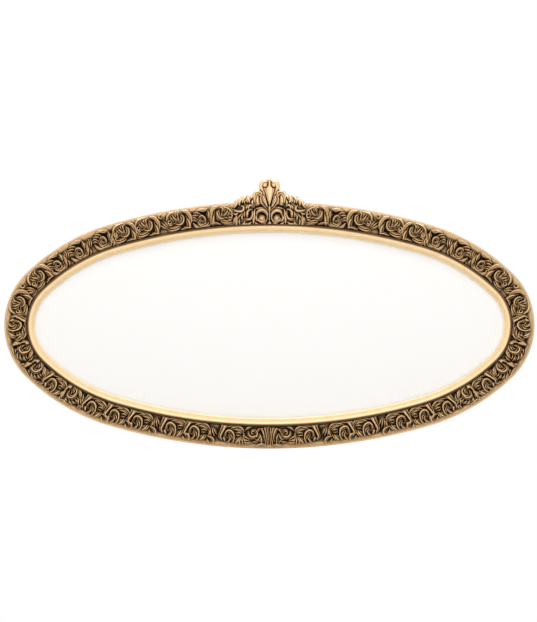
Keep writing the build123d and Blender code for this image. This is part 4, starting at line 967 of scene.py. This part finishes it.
def carveCrest():
    across, up, gridX, gridZ, surface, flank, outlineMap, radius = crestMaps()
    aside = np.abs(gridX)
    # painted light: the top of the crest and its outer edge get the least painted shade and the most painted
    # highlight
    lift = np.clip((gridZ - crest["lightFrom"]) / (crest["lightTo"] - crest["lightFrom"]), 0, 1)
    outer = np.clip((radius - crest["edgeFrom"]) / crest["edgeOver"], 0, 1)
    edgeLift = np.clip(1 - outlineMap / crest["lightEdge"], 0, 1) * outer
    lift = np.maximum(lift, crest["lightShare"] * edgeLift)
    umberAndPaintedShade, wearAndPaintedHighlight = paintedShadeAndHighlight(surface, flank * (1 - crest["lessFlankShade"] * lift), -crest["lessShade"] * lift)
    rubShare = crest["leastHighlight"] + (1 - crest["leastHighlight"]) * lift
    wearAndPaintedHighlight = np.clip(wearAndPaintedHighlight * rubShare + crest["moreHighlight"] * lift, 0, 1)
    # the very edge of the outline loses its painted shade
    umberAndPaintedShade *= 1 - np.clip(crest["unshadedEdge"] - outlineMap, 0, 1) * (radius > crest["unshadedFrom"])
    middle, wing = crest["hoodEdge"] - aside, np.minimum(aside - crest["hoodEdge"], crest["reach"] - aside)
    aboveScroll = gridZ - crest["scrollTop"] + aside * crest["scrollFall"]
    low = np.minimum(middle, -aboveScroll)
    regions = {
        "crest_cartouche": np.minimum(middle, aboveScroll),
        "crest_scroll_right": np.minimum(low, gridX), "crest_scroll_left": np.minimum(low, -gridX),
        "crest_leaves_right": np.minimum(wing, gridX), "crest_leaves_left": np.minimum(wing, -gridX),
    }
    layers = {"umberAndPaintedShade": umberAndPaintedShade, "wearAndPaintedHighlight": wearAndPaintedHighlight}
    for node, region in regions.items():
        inside = np.minimum(outlineMap, region)
        points, faces, values = reliefPatch(across, up, surface, inside, layers, relief["ground"])
        makeMesh("carved_" + node, points, faces, crestGilding, replaced=[node], slot="toned_gilding",
                 attributes=values, sharp=relief["sharp"])
    # the board behind follows the same outline, a little inside it
    onBoard = np.minimum(radius - crestBoard["from"], crestBoard["half"] - aside)
    inside = np.minimum(outlineMap - crestBoard["inset"], onBoard)
    flat = np.zeros_like(surface)
    layers = {"umberAndPaintedShade": flat + crestBoard["umberAndPaintedShade"], "gilt": flat + 1}
    points, faces, values = reliefPatch(across, up, flat, inside, layers, crestBoard["back"])
    makeMesh("crest_backboard", points, faces, segmentMaterial("basswood crest board", 0),
             replaced=["crest_board"], slot="base_wood", attributes=values, sharp=50)


carveCrest()
print("crest done")


# Sight moulding: cove, step and half-round bead, run right round the opening
sightMoulding = {
    "stations": 720, "coveSteps": 8, "beadSteps": 14,
    "lipBack": 14.0, "lip": 16.0, "coveTop": 19.5, "coveWidth": 4.2, "coveHollow": 0.35,
    "beadFoot": 21.0, "shoulder": 25.0, "width": 11.5, "beadRise": 3.5,
    # shares of umber and painted shade: painted shade on the outer slope of the bead, and more of it above
    # the opening
    "lipTone": (0.6, 0.1, 0.05), "coveTone": 0.05, "coveToneAbove": 0.16, "stepTone": (0.14, 0.08),
    "toneAt": (0, 2, 8, 9, 10, 11, 13), "tone": (0.2, 0.0, 0.0, 0.16, 0.4, 0.66, 0.9),
    "toneAbove": (0.2, 0.0, 0.02, 0.26, 0.6, 0.85, 0.95), "outerTone": 0.9,
}


def ringMesh(profile, bearings, closed=True):
    # profile of offsets and depths, run round the oval
    offset, depth = np.array(profile, float).T
    x, z = ovalPoint(np.asarray(bearings)[:, None], offset[None, :])
    return ringStack(np.stack([x, np.broadcast_to(-depth, x.shape), z], -1), closed)


def makeSightMoulding():
    s = sightMoulding
    profile = [(s["width"], s["lipBack"]), (0.0, s["lipBack"]), (0.0, s["lip"])]
    below, above = list(s["lipTone"]), list(s["lipTone"])
    for step in range(1, s["coveSteps"]):
        share = step / s["coveSteps"]
        hollow = math.sin(math.pi * share) * s["coveHollow"]
        depth = s["lip"] + (s["coveTop"] - s["lip"]) * share
        profile.append((s["coveWidth"] * share + hollow, depth - hollow))
        below.append(s["coveTone"])
        above.append(s["coveToneAbove"])
    profile += [(s["coveWidth"], s["coveTop"]), (s["coveWidth"], s["beadFoot"])]
    below += s["stepTone"]
    above += s["stepTone"]
    middle, half = (s["coveWidth"] + s["width"]) / 2, (s["width"] - s["coveWidth"]) / 2
    for step in range(1, s["beadSteps"]):
        turn = math.pi * step / s["beadSteps"]
        slope = s["beadFoot"] + (s["shoulder"] - s["beadFoot"]) * (1 - math.cos(turn)) / 2
        profile.append((middle - half * math.cos(turn), slope + s["beadRise"] * math.sin(turn)))
        below.append(np.interp(step, s["toneAt"], s["tone"]))
        above.append(np.interp(step, s["toneAt"], s["toneAbove"]))
    profile.append((s["width"], s["shoulder"]))
    below.append(s["outerTone"])
    above.append(s["outerTone"])
    bearings = np.linspace(-180, 180, s["stations"], endpoint=False)
    points, faces = ringMesh(profile, bearings)
    # painted shade: the upper half of the opening gets the darker tones
    share = (1 + np.sin(np.radians(bearings)))[:, None] / 2
    umberAndPaintedShade = share * np.array(above) + (1 - share) * np.array(below)
    layers = {"umberAndPaintedShade": umberAndPaintedShade, "wearAndPaintedHighlight": np.zeros(len(points))}
    makeMesh("sight_bead", points, faces, plainGilding, replaced=["sight_moulding"], slot="light_gilding",
             attributes=layers, sharp=35)


makeSightMoulding()
print("sight moulding done")


# Wood lengths: gilded front and outer edge, bare wood behind
woodLength = {
    "width": 49.5, "back": 6.0, "ground": 20.0, "edge": 4.0, "edgeSteps": 6, "bevel": 3.5, "foot": 11.0,
    "rebate": 8.0, "ledge": 14.0, "ringSeat": 11.6, "quirk": 13.6, "quirkDepth": 0.4, "underBand": 0.6,
    "joint": 0.04, "jointRadius": 300.0,     # half the gap at a joint, mm, on an arc of this radius
    "stationEvery": 0.5,                     # degrees
    "joints": (-46, 46, 74, 106, 134, 226, 254, 286, 314),
    "names": ("right", "upper_right", "top", "upper_left", "left", "lower_left", "bottom", "lower_right"),
}


def makeSegments():
    w = woodLength
    # offset, depth, share of gilding, share of umber and painted shade
    profile = [
        (w["ringSeat"], w["ledge"], 0, 0),
        # painted shade: the quirk is toned dark
        (w["ringSeat"], w["ground"] - w["quirkDepth"], 1, 1),
        (w["quirk"], w["ground"] - w["quirkDepth"], 1, 1),
        (w["quirk"] + w["quirkDepth"], w["ground"], 1, 0.7),
        (relief["outer"] - w["underBand"], w["ground"], 1, 0.7),
    ]
    for step in range(w["edgeSteps"] + 1):
        turn = math.pi / 2 * step / w["edgeSteps"]
        offset = w["width"] - w["edge"] + w["edge"] * math.sin(turn)
        depth = w["ground"] - w["edge"] + w["edge"] * math.cos(turn)
        profile.append((offset, depth, 1, 0.0 if step else 0.12))
    profile += [
        (w["width"], w["foot"], 0.75, 0.15),
        (w["width"] - w["bevel"] * 0.5, (w["foot"] + w["back"]) / 2, 0.3, 0),
        (w["width"] - w["bevel"], w["back"], 0, 0),
        (w["rebate"], w["back"], 0, 0),
        (w["rebate"], w["ledge"], 0, 0),
    ]
    profile = np.array(profile[::-1], float)
    trim = math.degrees(w["joint"] / w["jointRadius"])
    for name, first, last in zip(w["names"], w["joints"], w["joints"][1:]):
        count = int((last - first) / w["stationEvery"]) + 1
        bearings = np.linspace(first + trim, last - trim, count)
        points, faces = ringMesh(profile[:, :2], bearings, closed=False)
        layers = {"gilt": np.tile(profile[:, 2], count), "umberAndPaintedShade": np.tile(profile[:, 3], count)}
        material = segmentMaterial("gilded basswood " + name.replace("_", " "), 90 - (first + last) / 2)
        makeMesh("moulding_" + name, points, faces, material, replaced=["frame_segment_" + name],
                 slot="base_wood", attributes=layers, sharp=35)


makeSegments()
print("wood lengths done")


# Plain stock and hardware
def speckled(name, light, dark, grit, settings, bumpStrength):
    # grit is the size of the specks, mm
    material, tree, shader = startMaterial(name, settings)
    place = addNode(tree, "ShaderNodeTexCoord").outputs["Object"]
    noise = addNode(tree, "ShaderNodeTexNoise", {"Scale": 1 / (grit * mm), "Detail": 6.0, "Roughness": 0.65},
                    {"Vector": place})
    tone = addNode(tree, "ShaderNodeValToRGB", {"stops": ((0.3, dark), (0.7, light))},
                   {"Fac": noise.outputs["Fac"]})
    tree.links.new(tone.outputs["Color"], shader.inputs["Base Color"])
    bump = addNode(tree, "ShaderNodeBump", {"Strength": bumpStrength, "Distance": 0.1 * mm},
                   {"Height": noise.outputs["Fac"]})
    tree.links.new(bump.outputs[0], shader.inputs["Normal"])
    return material


# Water marks about 55 mm across; fibres 10 mm long, drawn 2.5 mm thick instead of 0.5 mm so that they show
pressedSheet = {"light": "#92663E", "dark": "#7E5535", "marks": 55.0, "fibre": "#4E301B", "fibreThick": 2.5,
                "fibreLong": 10.0, "fibreTurns": (25, 140), "fibreShare": 0.6}


def hardboardMaterial():
    # Wood fibre pressed smooth: a dull brown sheet with broad water marks and short dark fibres
    p = pressedSheet
    material, tree, shader = startMaterial("pressed hardboard", {"Roughness": 0.6})
    place = addNode(tree, "ShaderNodeTexCoord").outputs["Object"]
    marks = addNode(tree, "ShaderNodeTexNoise",
                    {"Scale": 1 / (p["marks"] * mm), "Detail": 5.0, "Distortion": 0.6}, {"Vector": place})
    sheet = addNode(tree, "ShaderNodeValToRGB", {"stops": ((0.32, p["dark"]), (0.68, p["light"]))},
                    {"Fac": marks.outputs["Fac"]})
    colour, height = sheet.outputs["Color"], None
    for turn in p["fibreTurns"]:
        lie = addNode(tree, "ShaderNodeMapping", {"Rotation": (0, math.radians(turn), 0)}, {"Vector": place})
        drawn = addNode(tree, "ShaderNodeMapping", {"Scale": (p["fibreThick"] / p["fibreLong"], 1.0, 1.0)},
                        {"Vector": lie.outputs[0]})
        fibre = addNode(tree, "ShaderNodeTexNoise", {"Scale": 1 / (p["fibreThick"] * mm), "Detail": 2.0},
                        {"Vector": drawn.outputs[0]})
        height = fibre.outputs["Fac"]
        dark = addNode(tree, "ShaderNodeMapRange", {1: 0.56, 2: 0.72, 3: 0.0, 4: p["fibreShare"]},
                       {0: height})
        mixed = addNode(tree, "ShaderNodeMix", {"data_type": "RGBA", 7: hexColour(p["fibre"])},
                        {0: dark.outputs[0], 6: colour})
        colour = mixed.outputs[2]
    tree.links.new(colour, shader.inputs["Base Color"])
    bump = addNode(tree, "ShaderNodeBump", {"Strength": 0.3, "Distance": 0.1 * mm}, {"Height": height})
    tree.links.new(bump.outputs[0], shader.inputs["Normal"])
    return material


hardboard = hardboardMaterial()
# matt cotton mount card, all but white, with a faint tooth
mountCard = speckled("white cotton card", "#FEFDFC", "#F9F8F6", 0.8, {"Roughness": 0.9}, 0.08)
# zinc plated steel, stamped and tumbled: bright grey with soft clouds
zincSteel = speckled("zinc plated steel", "#C9CCCF", "#9DA2A6", 5.0,
                     {"Metallic": 1.0, "Roughness": 0.32}, 0.1)
# moulded black rubber, slightly dusty
bumperRubber = speckled("moulded rubber", "#2B2A29", "#1D1C1B", 1.0, {"Roughness": 0.75}, 0.2)

# Glass, a hair off the card so that the two faces do not meet, mm
glassPane = {"edge": 7.5, "back": 12.1, "front": 13.95, "stations": 360,
             "ripple": 60.0,                 # length of the drawing ripples
             "mirror": 0.04}                 # mirror share seen square on


def clearGlass():
    # float glass: the card shows clear through it, with a faint reflection of the room
    material = bpy.data.materials.new("float glass")
    material.use_nodes = True
    tree = material.node_tree
    tree.nodes.clear()
    through = addNode(tree, "ShaderNodeBsdfTransparent", {"Color": (1, 1, 1, 1)})
    place = addNode(tree, "ShaderNodeTexCoord").outputs["Object"]
    ripple = addNode(tree, "ShaderNodeTexNoise", {"Scale": 1 / (glassPane["ripple"] * mm), "Detail": 1.0},
                     {"Vector": place})
    bump = addNode(tree, "ShaderNodeBump", {"Strength": 0.02, "Distance": 0.2 * mm},
                   {"Height": ripple.outputs["Fac"]})
    gloss = addNode(tree, "ShaderNodeBsdfGlossy", {"Roughness": 0.02}, {"Normal": bump.outputs[0]})
    # the mirror share rises at a slant, the same from both sides
    slant = addNode(tree, "ShaderNodeLayerWeight").outputs["Facing"]
    rising = addNode(tree, "ShaderNodeMath", {"operation": "POWER", 1: 5.0}, {0: slant})
    share = addNode(tree, "ShaderNodeMath",
                    {"operation": "MULTIPLY_ADD", 1: 1 - glassPane["mirror"], 2: glassPane["mirror"]},
                    {0: rising.outputs[0]})
    mixed = addNode(tree, "ShaderNodeMixShader",
                    links={0: share.outputs[0], 1: through.outputs[0], 2: gloss.outputs[0]})
    addNode(tree, "ShaderNodeOutputMaterial", links={"Surface": mixed.outputs[0]})
    return material


def makeGlass():
    x, z = ovalPoint(np.linspace(-180, 180, glassPane["stations"], endpoint=False), glassPane["edge"])
    rings = [np.stack([x, np.full(len(x), -glassPane[face]), z], -1) for face in ("front", "back")]
    makeMesh("float_glass", *ringStack(rings), clearGlass(), replaced=["glass_pane"], slot="picture_glass",
             sharp=30)


makeGlass()
print("glass done")


# Hardware on the back. A place is an origin with directions across, along and out of the back, mm
def placeAt(origin, across):
    across, out = np.array(across, float), np.array((0.0, 1.0, 0.0))
    return np.array(origin, float), across, np.cross(out, across), out


def backPlace(bearing, offset, depth):
    x, z = ovalPoint(bearing, offset)
    turn = math.radians(bearing)
    return placeAt((float(x), -depth, float(z)), (math.cos(turn), 0, math.sin(turn)))


def toWorld(place, points):
    origin, across, along, out = place
    points = np.asarray(points, float)
    return origin + points[:, :1] * across + points[:, 1:2] * along + points[:, 2:] * out


def joined(parts):
    points, faces, count = [], [], 0
    for partPoints, partFaces in parts:
        points.append(np.asarray(partPoints, float))
        faces += [[count + k for k in face] for face in partFaces]
        count += len(partPoints)
    return np.vstack(points), faces


def circleRing(radius, height, count):
    turn = np.linspace(0, 2 * math.pi, count, endpoint=False)
    return np.stack([radius * np.cos(turn), radius * np.sin(turn), np.full(count, height)], -1)


panHead = {"radius": 3.4, "slotWidth": 0.9, "slotDepth": 0.8, "slotShare": 0.7, "shank": 1.6, "length": 10.0,
           "rows": 9, "columns": 15, "rowsTo": 0.985, "least": 0.05, "overlap": 0.02, "shankSides": 10}


def slottedHead(height, rimShare):
    # rows across the slot, so that its walls stay straight
    radius, edge, columns = panHead["radius"], panHead["slotWidth"] / 2, panHead["columns"]
    depth = min(panHead["slotDepth"], panHead["slotShare"] * height)
    outermost = panHead["rowsTo"] * radius
    rows = [(y, 0.0) for y in np.linspace(-outermost, -edge, panHead["rows"])]
    rows += [(-edge, depth), (edge, depth)]
    rows += [(y, 0.0) for y in np.linspace(edge, outermost, panHead["rows"])]
    top = []
    for y, sunk in rows:
        half = math.sqrt(radius**2 - y**2)
        for x in np.linspace(-half, half, columns):
            dome = math.sqrt(max(0.0, 1 - (x * x + y * y) / radius**2))
            top.append((x, y, max(panHead["least"], height * (rimShare + (1 - rimShare) * dome) - sunk)))
    count = len(rows)
    faces = []
    for i in range(count - 1):
        for j in range(columns - 1):
            a = i * columns + j
            faces.append([a, a + 1, a + columns + 1, a + columns])
    loop = list(range(columns)) + [i * columns + columns - 1 for i in range(1, count)]
    loop += [(count - 1) * columns + j for j in range(columns - 2, -1, -1)]
    loop += [i * columns for i in range(count - 2, 0, -1)]
    first = len(top)
    low = [(top[k][0], top[k][1], 0.0) for k in loop]
    for k in range(len(loop)):
        following = (k + 1) % len(loop)
        faces.append([loop[k], first + k, first + following, loop[following]])
    faces.append([first + k for k in range(len(loop))][::-1])
    return np.array(top + low), faces


def screwAt(place, seat, head):
    # head is its height, mm, and the share of it that stands at the rim
    shank = ringStack([circleRing(panHead["shank"], height, panHead["shankSides"])
                       for height in (-panHead["length"], panHead["overlap"])])
    points, faces = joined([slottedHead(*head), shank])
    return toWorld(place, points + np.array((0, 0, seat))), faces


def makeScrews(name, screws, node):
    makeMesh(name, *joined(screws), zincSteel, replaced=[node], slot="zinc_plated_steel", sharp=40)


turnButton = {"offset": 17.5, "reach": 18.0, "tail": 6.0, "width": 8.0, "gauge": 1.2, "play": 0.1,
              "edge": 0.3, "hole": 1.85, "bearings": (0.0, 78.0, 90.0, 102.0, 180.0, 258.0, 270.0, 282.0),
              "endSteps": 16, "sideSteps": 14, "head": (2.0, 0.5)}


def buttonPlate():
    # stamped plate with rolled edges and a round hole
    b = turnButton
    half = b["width"] / 2

    def ends(inset):
        points = []
        tail, head = b["tail"] - half, half - b["reach"]
        for middle, following, start in ((tail, head, -90), (head, tail, 90)):
            for step in range(b["endSteps"] + 1):
                turn = math.radians(start + 180 * step / b["endSteps"])
                points.append((middle + (half - inset) * math.cos(turn), (half - inset) * math.sin(turn)))
            side = points[-1][1]
            points += [(x, side) for x in np.linspace(middle, following, b["sideSteps"])[1:-1]]
        return np.array(points)

    whole, rolled = ends(0), ends(b["edge"])
    turn = np.arctan2(*whole.T[::-1])
    hole = np.stack([b["hole"] * np.cos(turn), b["hole"] * np.sin(turn)], -1)
    rings = []
    for flat, height in ((hole, 0), (rolled, 0), (whole, b["edge"]), (whole, b["gauge"] - b["edge"]),
                         (rolled, b["gauge"]), (hole, b["gauge"])):
        rings.append(np.column_stack([flat, np.full(len(flat), height)]))
    return ringStack(rings, closed=True)


def makeTurnButtons():
    b = turnButton
    points, faces = buttonPlate()
    screws = []
    for number, bearing in enumerate(b["bearings"], 1):
        place = backPlace(bearing, b["offset"], woodLength["back"])
        node = "turn_button_" + str(number)
        makeMesh("stamped_" + node, toWorld(place, points + np.array((0, 0, b["play"]))), faces, zincSteel,
                 body=node, replaced=[node], slot="zinc_plated_steel", sharp=50)
        screws.append(screwAt(place, 2 * b["play"] + b["gauge"], b["head"]))
    makeScrews("slotted_button_screws", screws, "turn_button_screws")


hanger = {"bearing": 58.0, "offset": 28.0, "gauge": 0.8, "screwDrop": 7.4, "wire": 1.2, "bore": 1.28,
          "innerWidth": 14.0, "side": 5.0, "corner": 2.4, "restGap": 0.15, "wireSides": 14,
          "head": (1.0, 0.75)}


def ringPath():
    # D in the plane across and along: a straight bar in the loop, two rounded corners and a half circle
    half, corner = hanger["innerWidth"] / 2 + hanger["wire"], hanger["corner"]
    points = []
    for cx, cy, radius, start, stop in (
        (half - corner, corner, corner, -90, 0),
        (0, hanger["side"], half, 0, 180),
        (corner - half, corner, corner, 180, 270),
    ):
        for turn in np.radians(np.linspace(start, stop, max(7, int((stop - start) / 7)))):
            points.append((cx + radius * math.cos(turn), cy + radius * math.sin(turn)))
    return np.array(points)


def makeHangers():
    h = hanger
    path = ringPath()
    ahead = np.roll(path, -1, 0) - np.roll(path, 1, 0)
    outward = np.stack([ahead[:, 1], -ahead[:, 0]], -1) / np.linalg.norm(ahead, axis=1)[:, None]
    rings = []
    for turn in np.linspace(0, 2 * math.pi, h["wireSides"], endpoint=False)[::-1]:
        flat = path + outward * h["wire"] * math.cos(turn)
        rings.append(np.column_stack([flat, np.full(len(flat), h["wire"] * math.sin(turn))]))
    wire, faces = ringStack(rings, closed=True)
    # at rest the ring leans on its strap
    loop = h["bore"] + h["gauge"]
    lift = 2 * h["gauge"] + h["restGap"] + h["wire"] - loop
    tilt = math.asin(lift / (h["side"] + h["innerWidth"] / 2 + h["wire"]))
    turned = np.column_stack([wire[:, 0], wire[:, 1] * math.cos(tilt) - wire[:, 2] * math.sin(tilt),
                              wire[:, 1] * math.sin(tilt) + wire[:, 2] * math.cos(tilt) + loop])
    screws = []
    for name, bearing in (("right", h["bearing"]), ("left", 180 - h["bearing"])):
        x, z = ovalPoint(bearing, h["offset"])
        place = placeAt((float(x), -woodLength["back"], float(z)), (1, 0, 0))
        makeMesh("wire_ring_" + name, toWorld(place, turned), faces, zincSteel, body="hanger_ring_" + name,
                 replaced=["hanger_ring_" + name], slot="zinc_plated_steel", sharp=60)
        dropped = placeAt((float(x), -woodLength["back"], float(z) - h["screwDrop"]), (1, 0, 0))
        screws.append(screwAt(dropped, h["gauge"], h["head"]))
    makeScrews("slotted_hanger_screws", screws, "hanger_screws")


crestScrew = {"offset": 36.0, "spacing": 26.0, "steps": (-1.5, -0.5, 0.5, 1.5), "sunk": 0.4,
              "head": (1.3, 0.5)}


def makeCrestScrews():
    c = crestScrew
    screws = []
    for step in c["steps"]:
        bearing = 90 - math.degrees(step * c["spacing"] / (sideRadius + c["offset"]))
        place = backPlace(bearing, c["offset"], woodLength["back"] + c["sunk"])
        screws.append(screwAt(place, 0.0, c["head"]))
    makeScrews("slotted_crest_screws", screws, "crest_screws")


bumper = {"offset": 33.0, "bearings": (28.0, 152.0, 208.0, 332.0), "sides": 32,
          "profile": ((6.0, 0.0), (5.9, 3.2), (5.6, 4.6), (5.0, 5.5), (4.0, 5.95), (2.0, 6.0))}


def makeBumpers():
    points, faces = ringStack([circleRing(*ring, bumper["sides"]) for ring in bumper["profile"]])
    domes = []
    for bearing in bumper["bearings"]:
        domes.append((toWorld(backPlace(bearing, bumper["offset"], woodLength["back"]), points), faces))
    makeMesh("domed_bumpers", *joined(domes), bumperRubber, replaced=["wall_bumpers"], slot="bumper_rubber",
             sharp=50)


makeTurnButtons()
makeHangers()
makeCrestScrews()
makeBumpers()

# Pieces that keep the mesh of their solid
for node, material in (("mount_card", mountCard), ("backing_board", hardboard), ("joint_splines", hardboard),
                       ("hanger_strap_right", zincSteel), ("hanger_strap_left", zincSteel)):
    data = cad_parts[node].data
    data.materials.clear()
    data.materials.append(material)
print("hardware done")


# Camera square to the front, as the picture was taken; 1.62 mm to a pixel of a 537 by 622 image
cameraSet = {"mmPerPixel": 1.62, "imageHeight": 622, "centre": (-1.46, 22.84), "distance": 3.0}
cameraData = bpy.data.cameras.new("camera")
cameraData.type = "ORTHO"
cameraData.ortho_scale = cameraSet["mmPerPixel"] * cameraSet["imageHeight"] * mm
camera = bpy.data.objects.new("camera", cameraData)
camera.location = (cameraSet["centre"][0] * mm, -cameraSet["distance"], cameraSet["centre"][1] * mm)
camera.rotation_euler = (math.pi / 2, 0, 0)
bpy.context.scene.collection.objects.link(camera)
bpy.context.scene.camera = camera

# Studio, W and m: a lamp above, a broad one in front, one behind, a pale floor and a white surround
studio = {
    "key": (7.3, 0.8, (0.0, -1.1, 1.4)),     # power, size and place of each lamp
    "front": (26.0, 1.6, (0.0, -2.6, 0.5)),
    "back": (24.0, 1.6, (0.0, 2.0, 1.4)),
    "surround": 0.5,
    "floor": "#F4F3F1", "floorHalf": 20.0, "floorGap": 0.0005,
    "floorWhite": 0.6,                       # share of white that the camera sees in the floor
    "shadowWithin": 0.55, "whiteFrom": 1.25,     # distances at which that share begins to rise and is whole
}


def addLamp(name):
    power, size, location = studio[name]
    lamp = bpy.data.lights.new(name + " lamp", "AREA")
    lamp.energy = power
    lamp.size = size
    piece = bpy.data.objects.new(name + " lamp", lamp)
    piece.location = location
    aim = Vector((0, 0, 0)) - Vector(location)
    piece.rotation_euler = aim.to_track_quat("-Z", "Y").to_euler()
    bpy.context.scene.collection.objects.link(piece)
    return piece


addLamp("key")
addLamp("front").visible_glossy = False      # or the glass would mirror it
addLamp("back")


def seenRays(tree):
    # 1 for what the camera sees, also in a mirror or through glass
    path = addNode(tree, "ShaderNodeLightPath")
    direct = addNode(tree, "ShaderNodeMath", {"operation": "MAXIMUM"},
                     {0: path.outputs["Is Camera Ray"], 1: path.outputs["Is Transmission Ray"]})
    seen = addNode(tree, "ShaderNodeMath", {"operation": "MAXIMUM"},
                   {0: direct.outputs[0], 1: path.outputs["Is Glossy Ray"]})
    return seen.outputs[0]


def makeWorld():
    world = bpy.data.worlds.new("white surround")
    bpy.context.scene.world = world
    world.use_nodes = True
    tree = world.node_tree
    tree.nodes.clear()
    strength = addNode(tree, "ShaderNodeMapRange", {3: studio["surround"], 4: 1.0}, {0: seenRays(tree)})
    back = addNode(tree, "ShaderNodeBackground", {"Color": (1, 1, 1, 1)}, {"Strength": strength.outputs[0]})
    addNode(tree, "ShaderNodeOutputWorld", links={"Surface": back.outputs[0]})


def makeFloor():
    # matt painted board; the camera sees it part white, so that it stays pale far from the lamps and keeps
    # the shadow
    material, tree, shader = startMaterial("pale painted floor",
                                           {"Base Color": hexColour(studio["floor"]), "Roughness": 0.9})
    place = addNode(tree, "ShaderNodeTexCoord")
    away = addNode(tree, "ShaderNodeVectorMath", {"operation": "LENGTH"}, {0: place.outputs["Object"]})
    paling = {1: studio["shadowWithin"], 2: studio["whiteFrom"], 3: studio["floorWhite"], 4: 1.0,
              "interpolation_type": "SMOOTHSTEP"}
    paler = addNode(tree, "ShaderNodeMapRange", paling, {0: away.outputs["Value"]})
    share = addNode(tree, "ShaderNodeMath", {"operation": "MULTIPLY"},
                    {0: seenRays(tree), 1: paler.outputs[0]})
    white = addNode(tree, "ShaderNodeEmission", {"Strength": 1.0})
    mixed = addNode(tree, "ShaderNodeMixShader",
                    links={0: share.outputs[0], 1: shader.outputs[0], 2: white.outputs[0]})
    tree.links.new(mixed.outputs[0], tree.nodes["Material Output"].inputs["Surface"])
    level, half = cadLow.z - studio["floorGap"], studio["floorHalf"]
    corners = [(-half, -half, level), (half, -half, level), (half, half, level), (-half, half, level)]
    mesh = bpy.data.meshes.new("floor")
    mesh.from_pydata(corners, [], [[0, 1, 2, 3]])
    mesh.materials.append(material)
    floor = bpy.data.objects.new("floor", mesh)
    bpy.context.scene.collection.objects.link(floor)


makeWorld()
makeFloor()
bpy.context.scene.view_settings.view_transform = "Standard"
print("studio done")
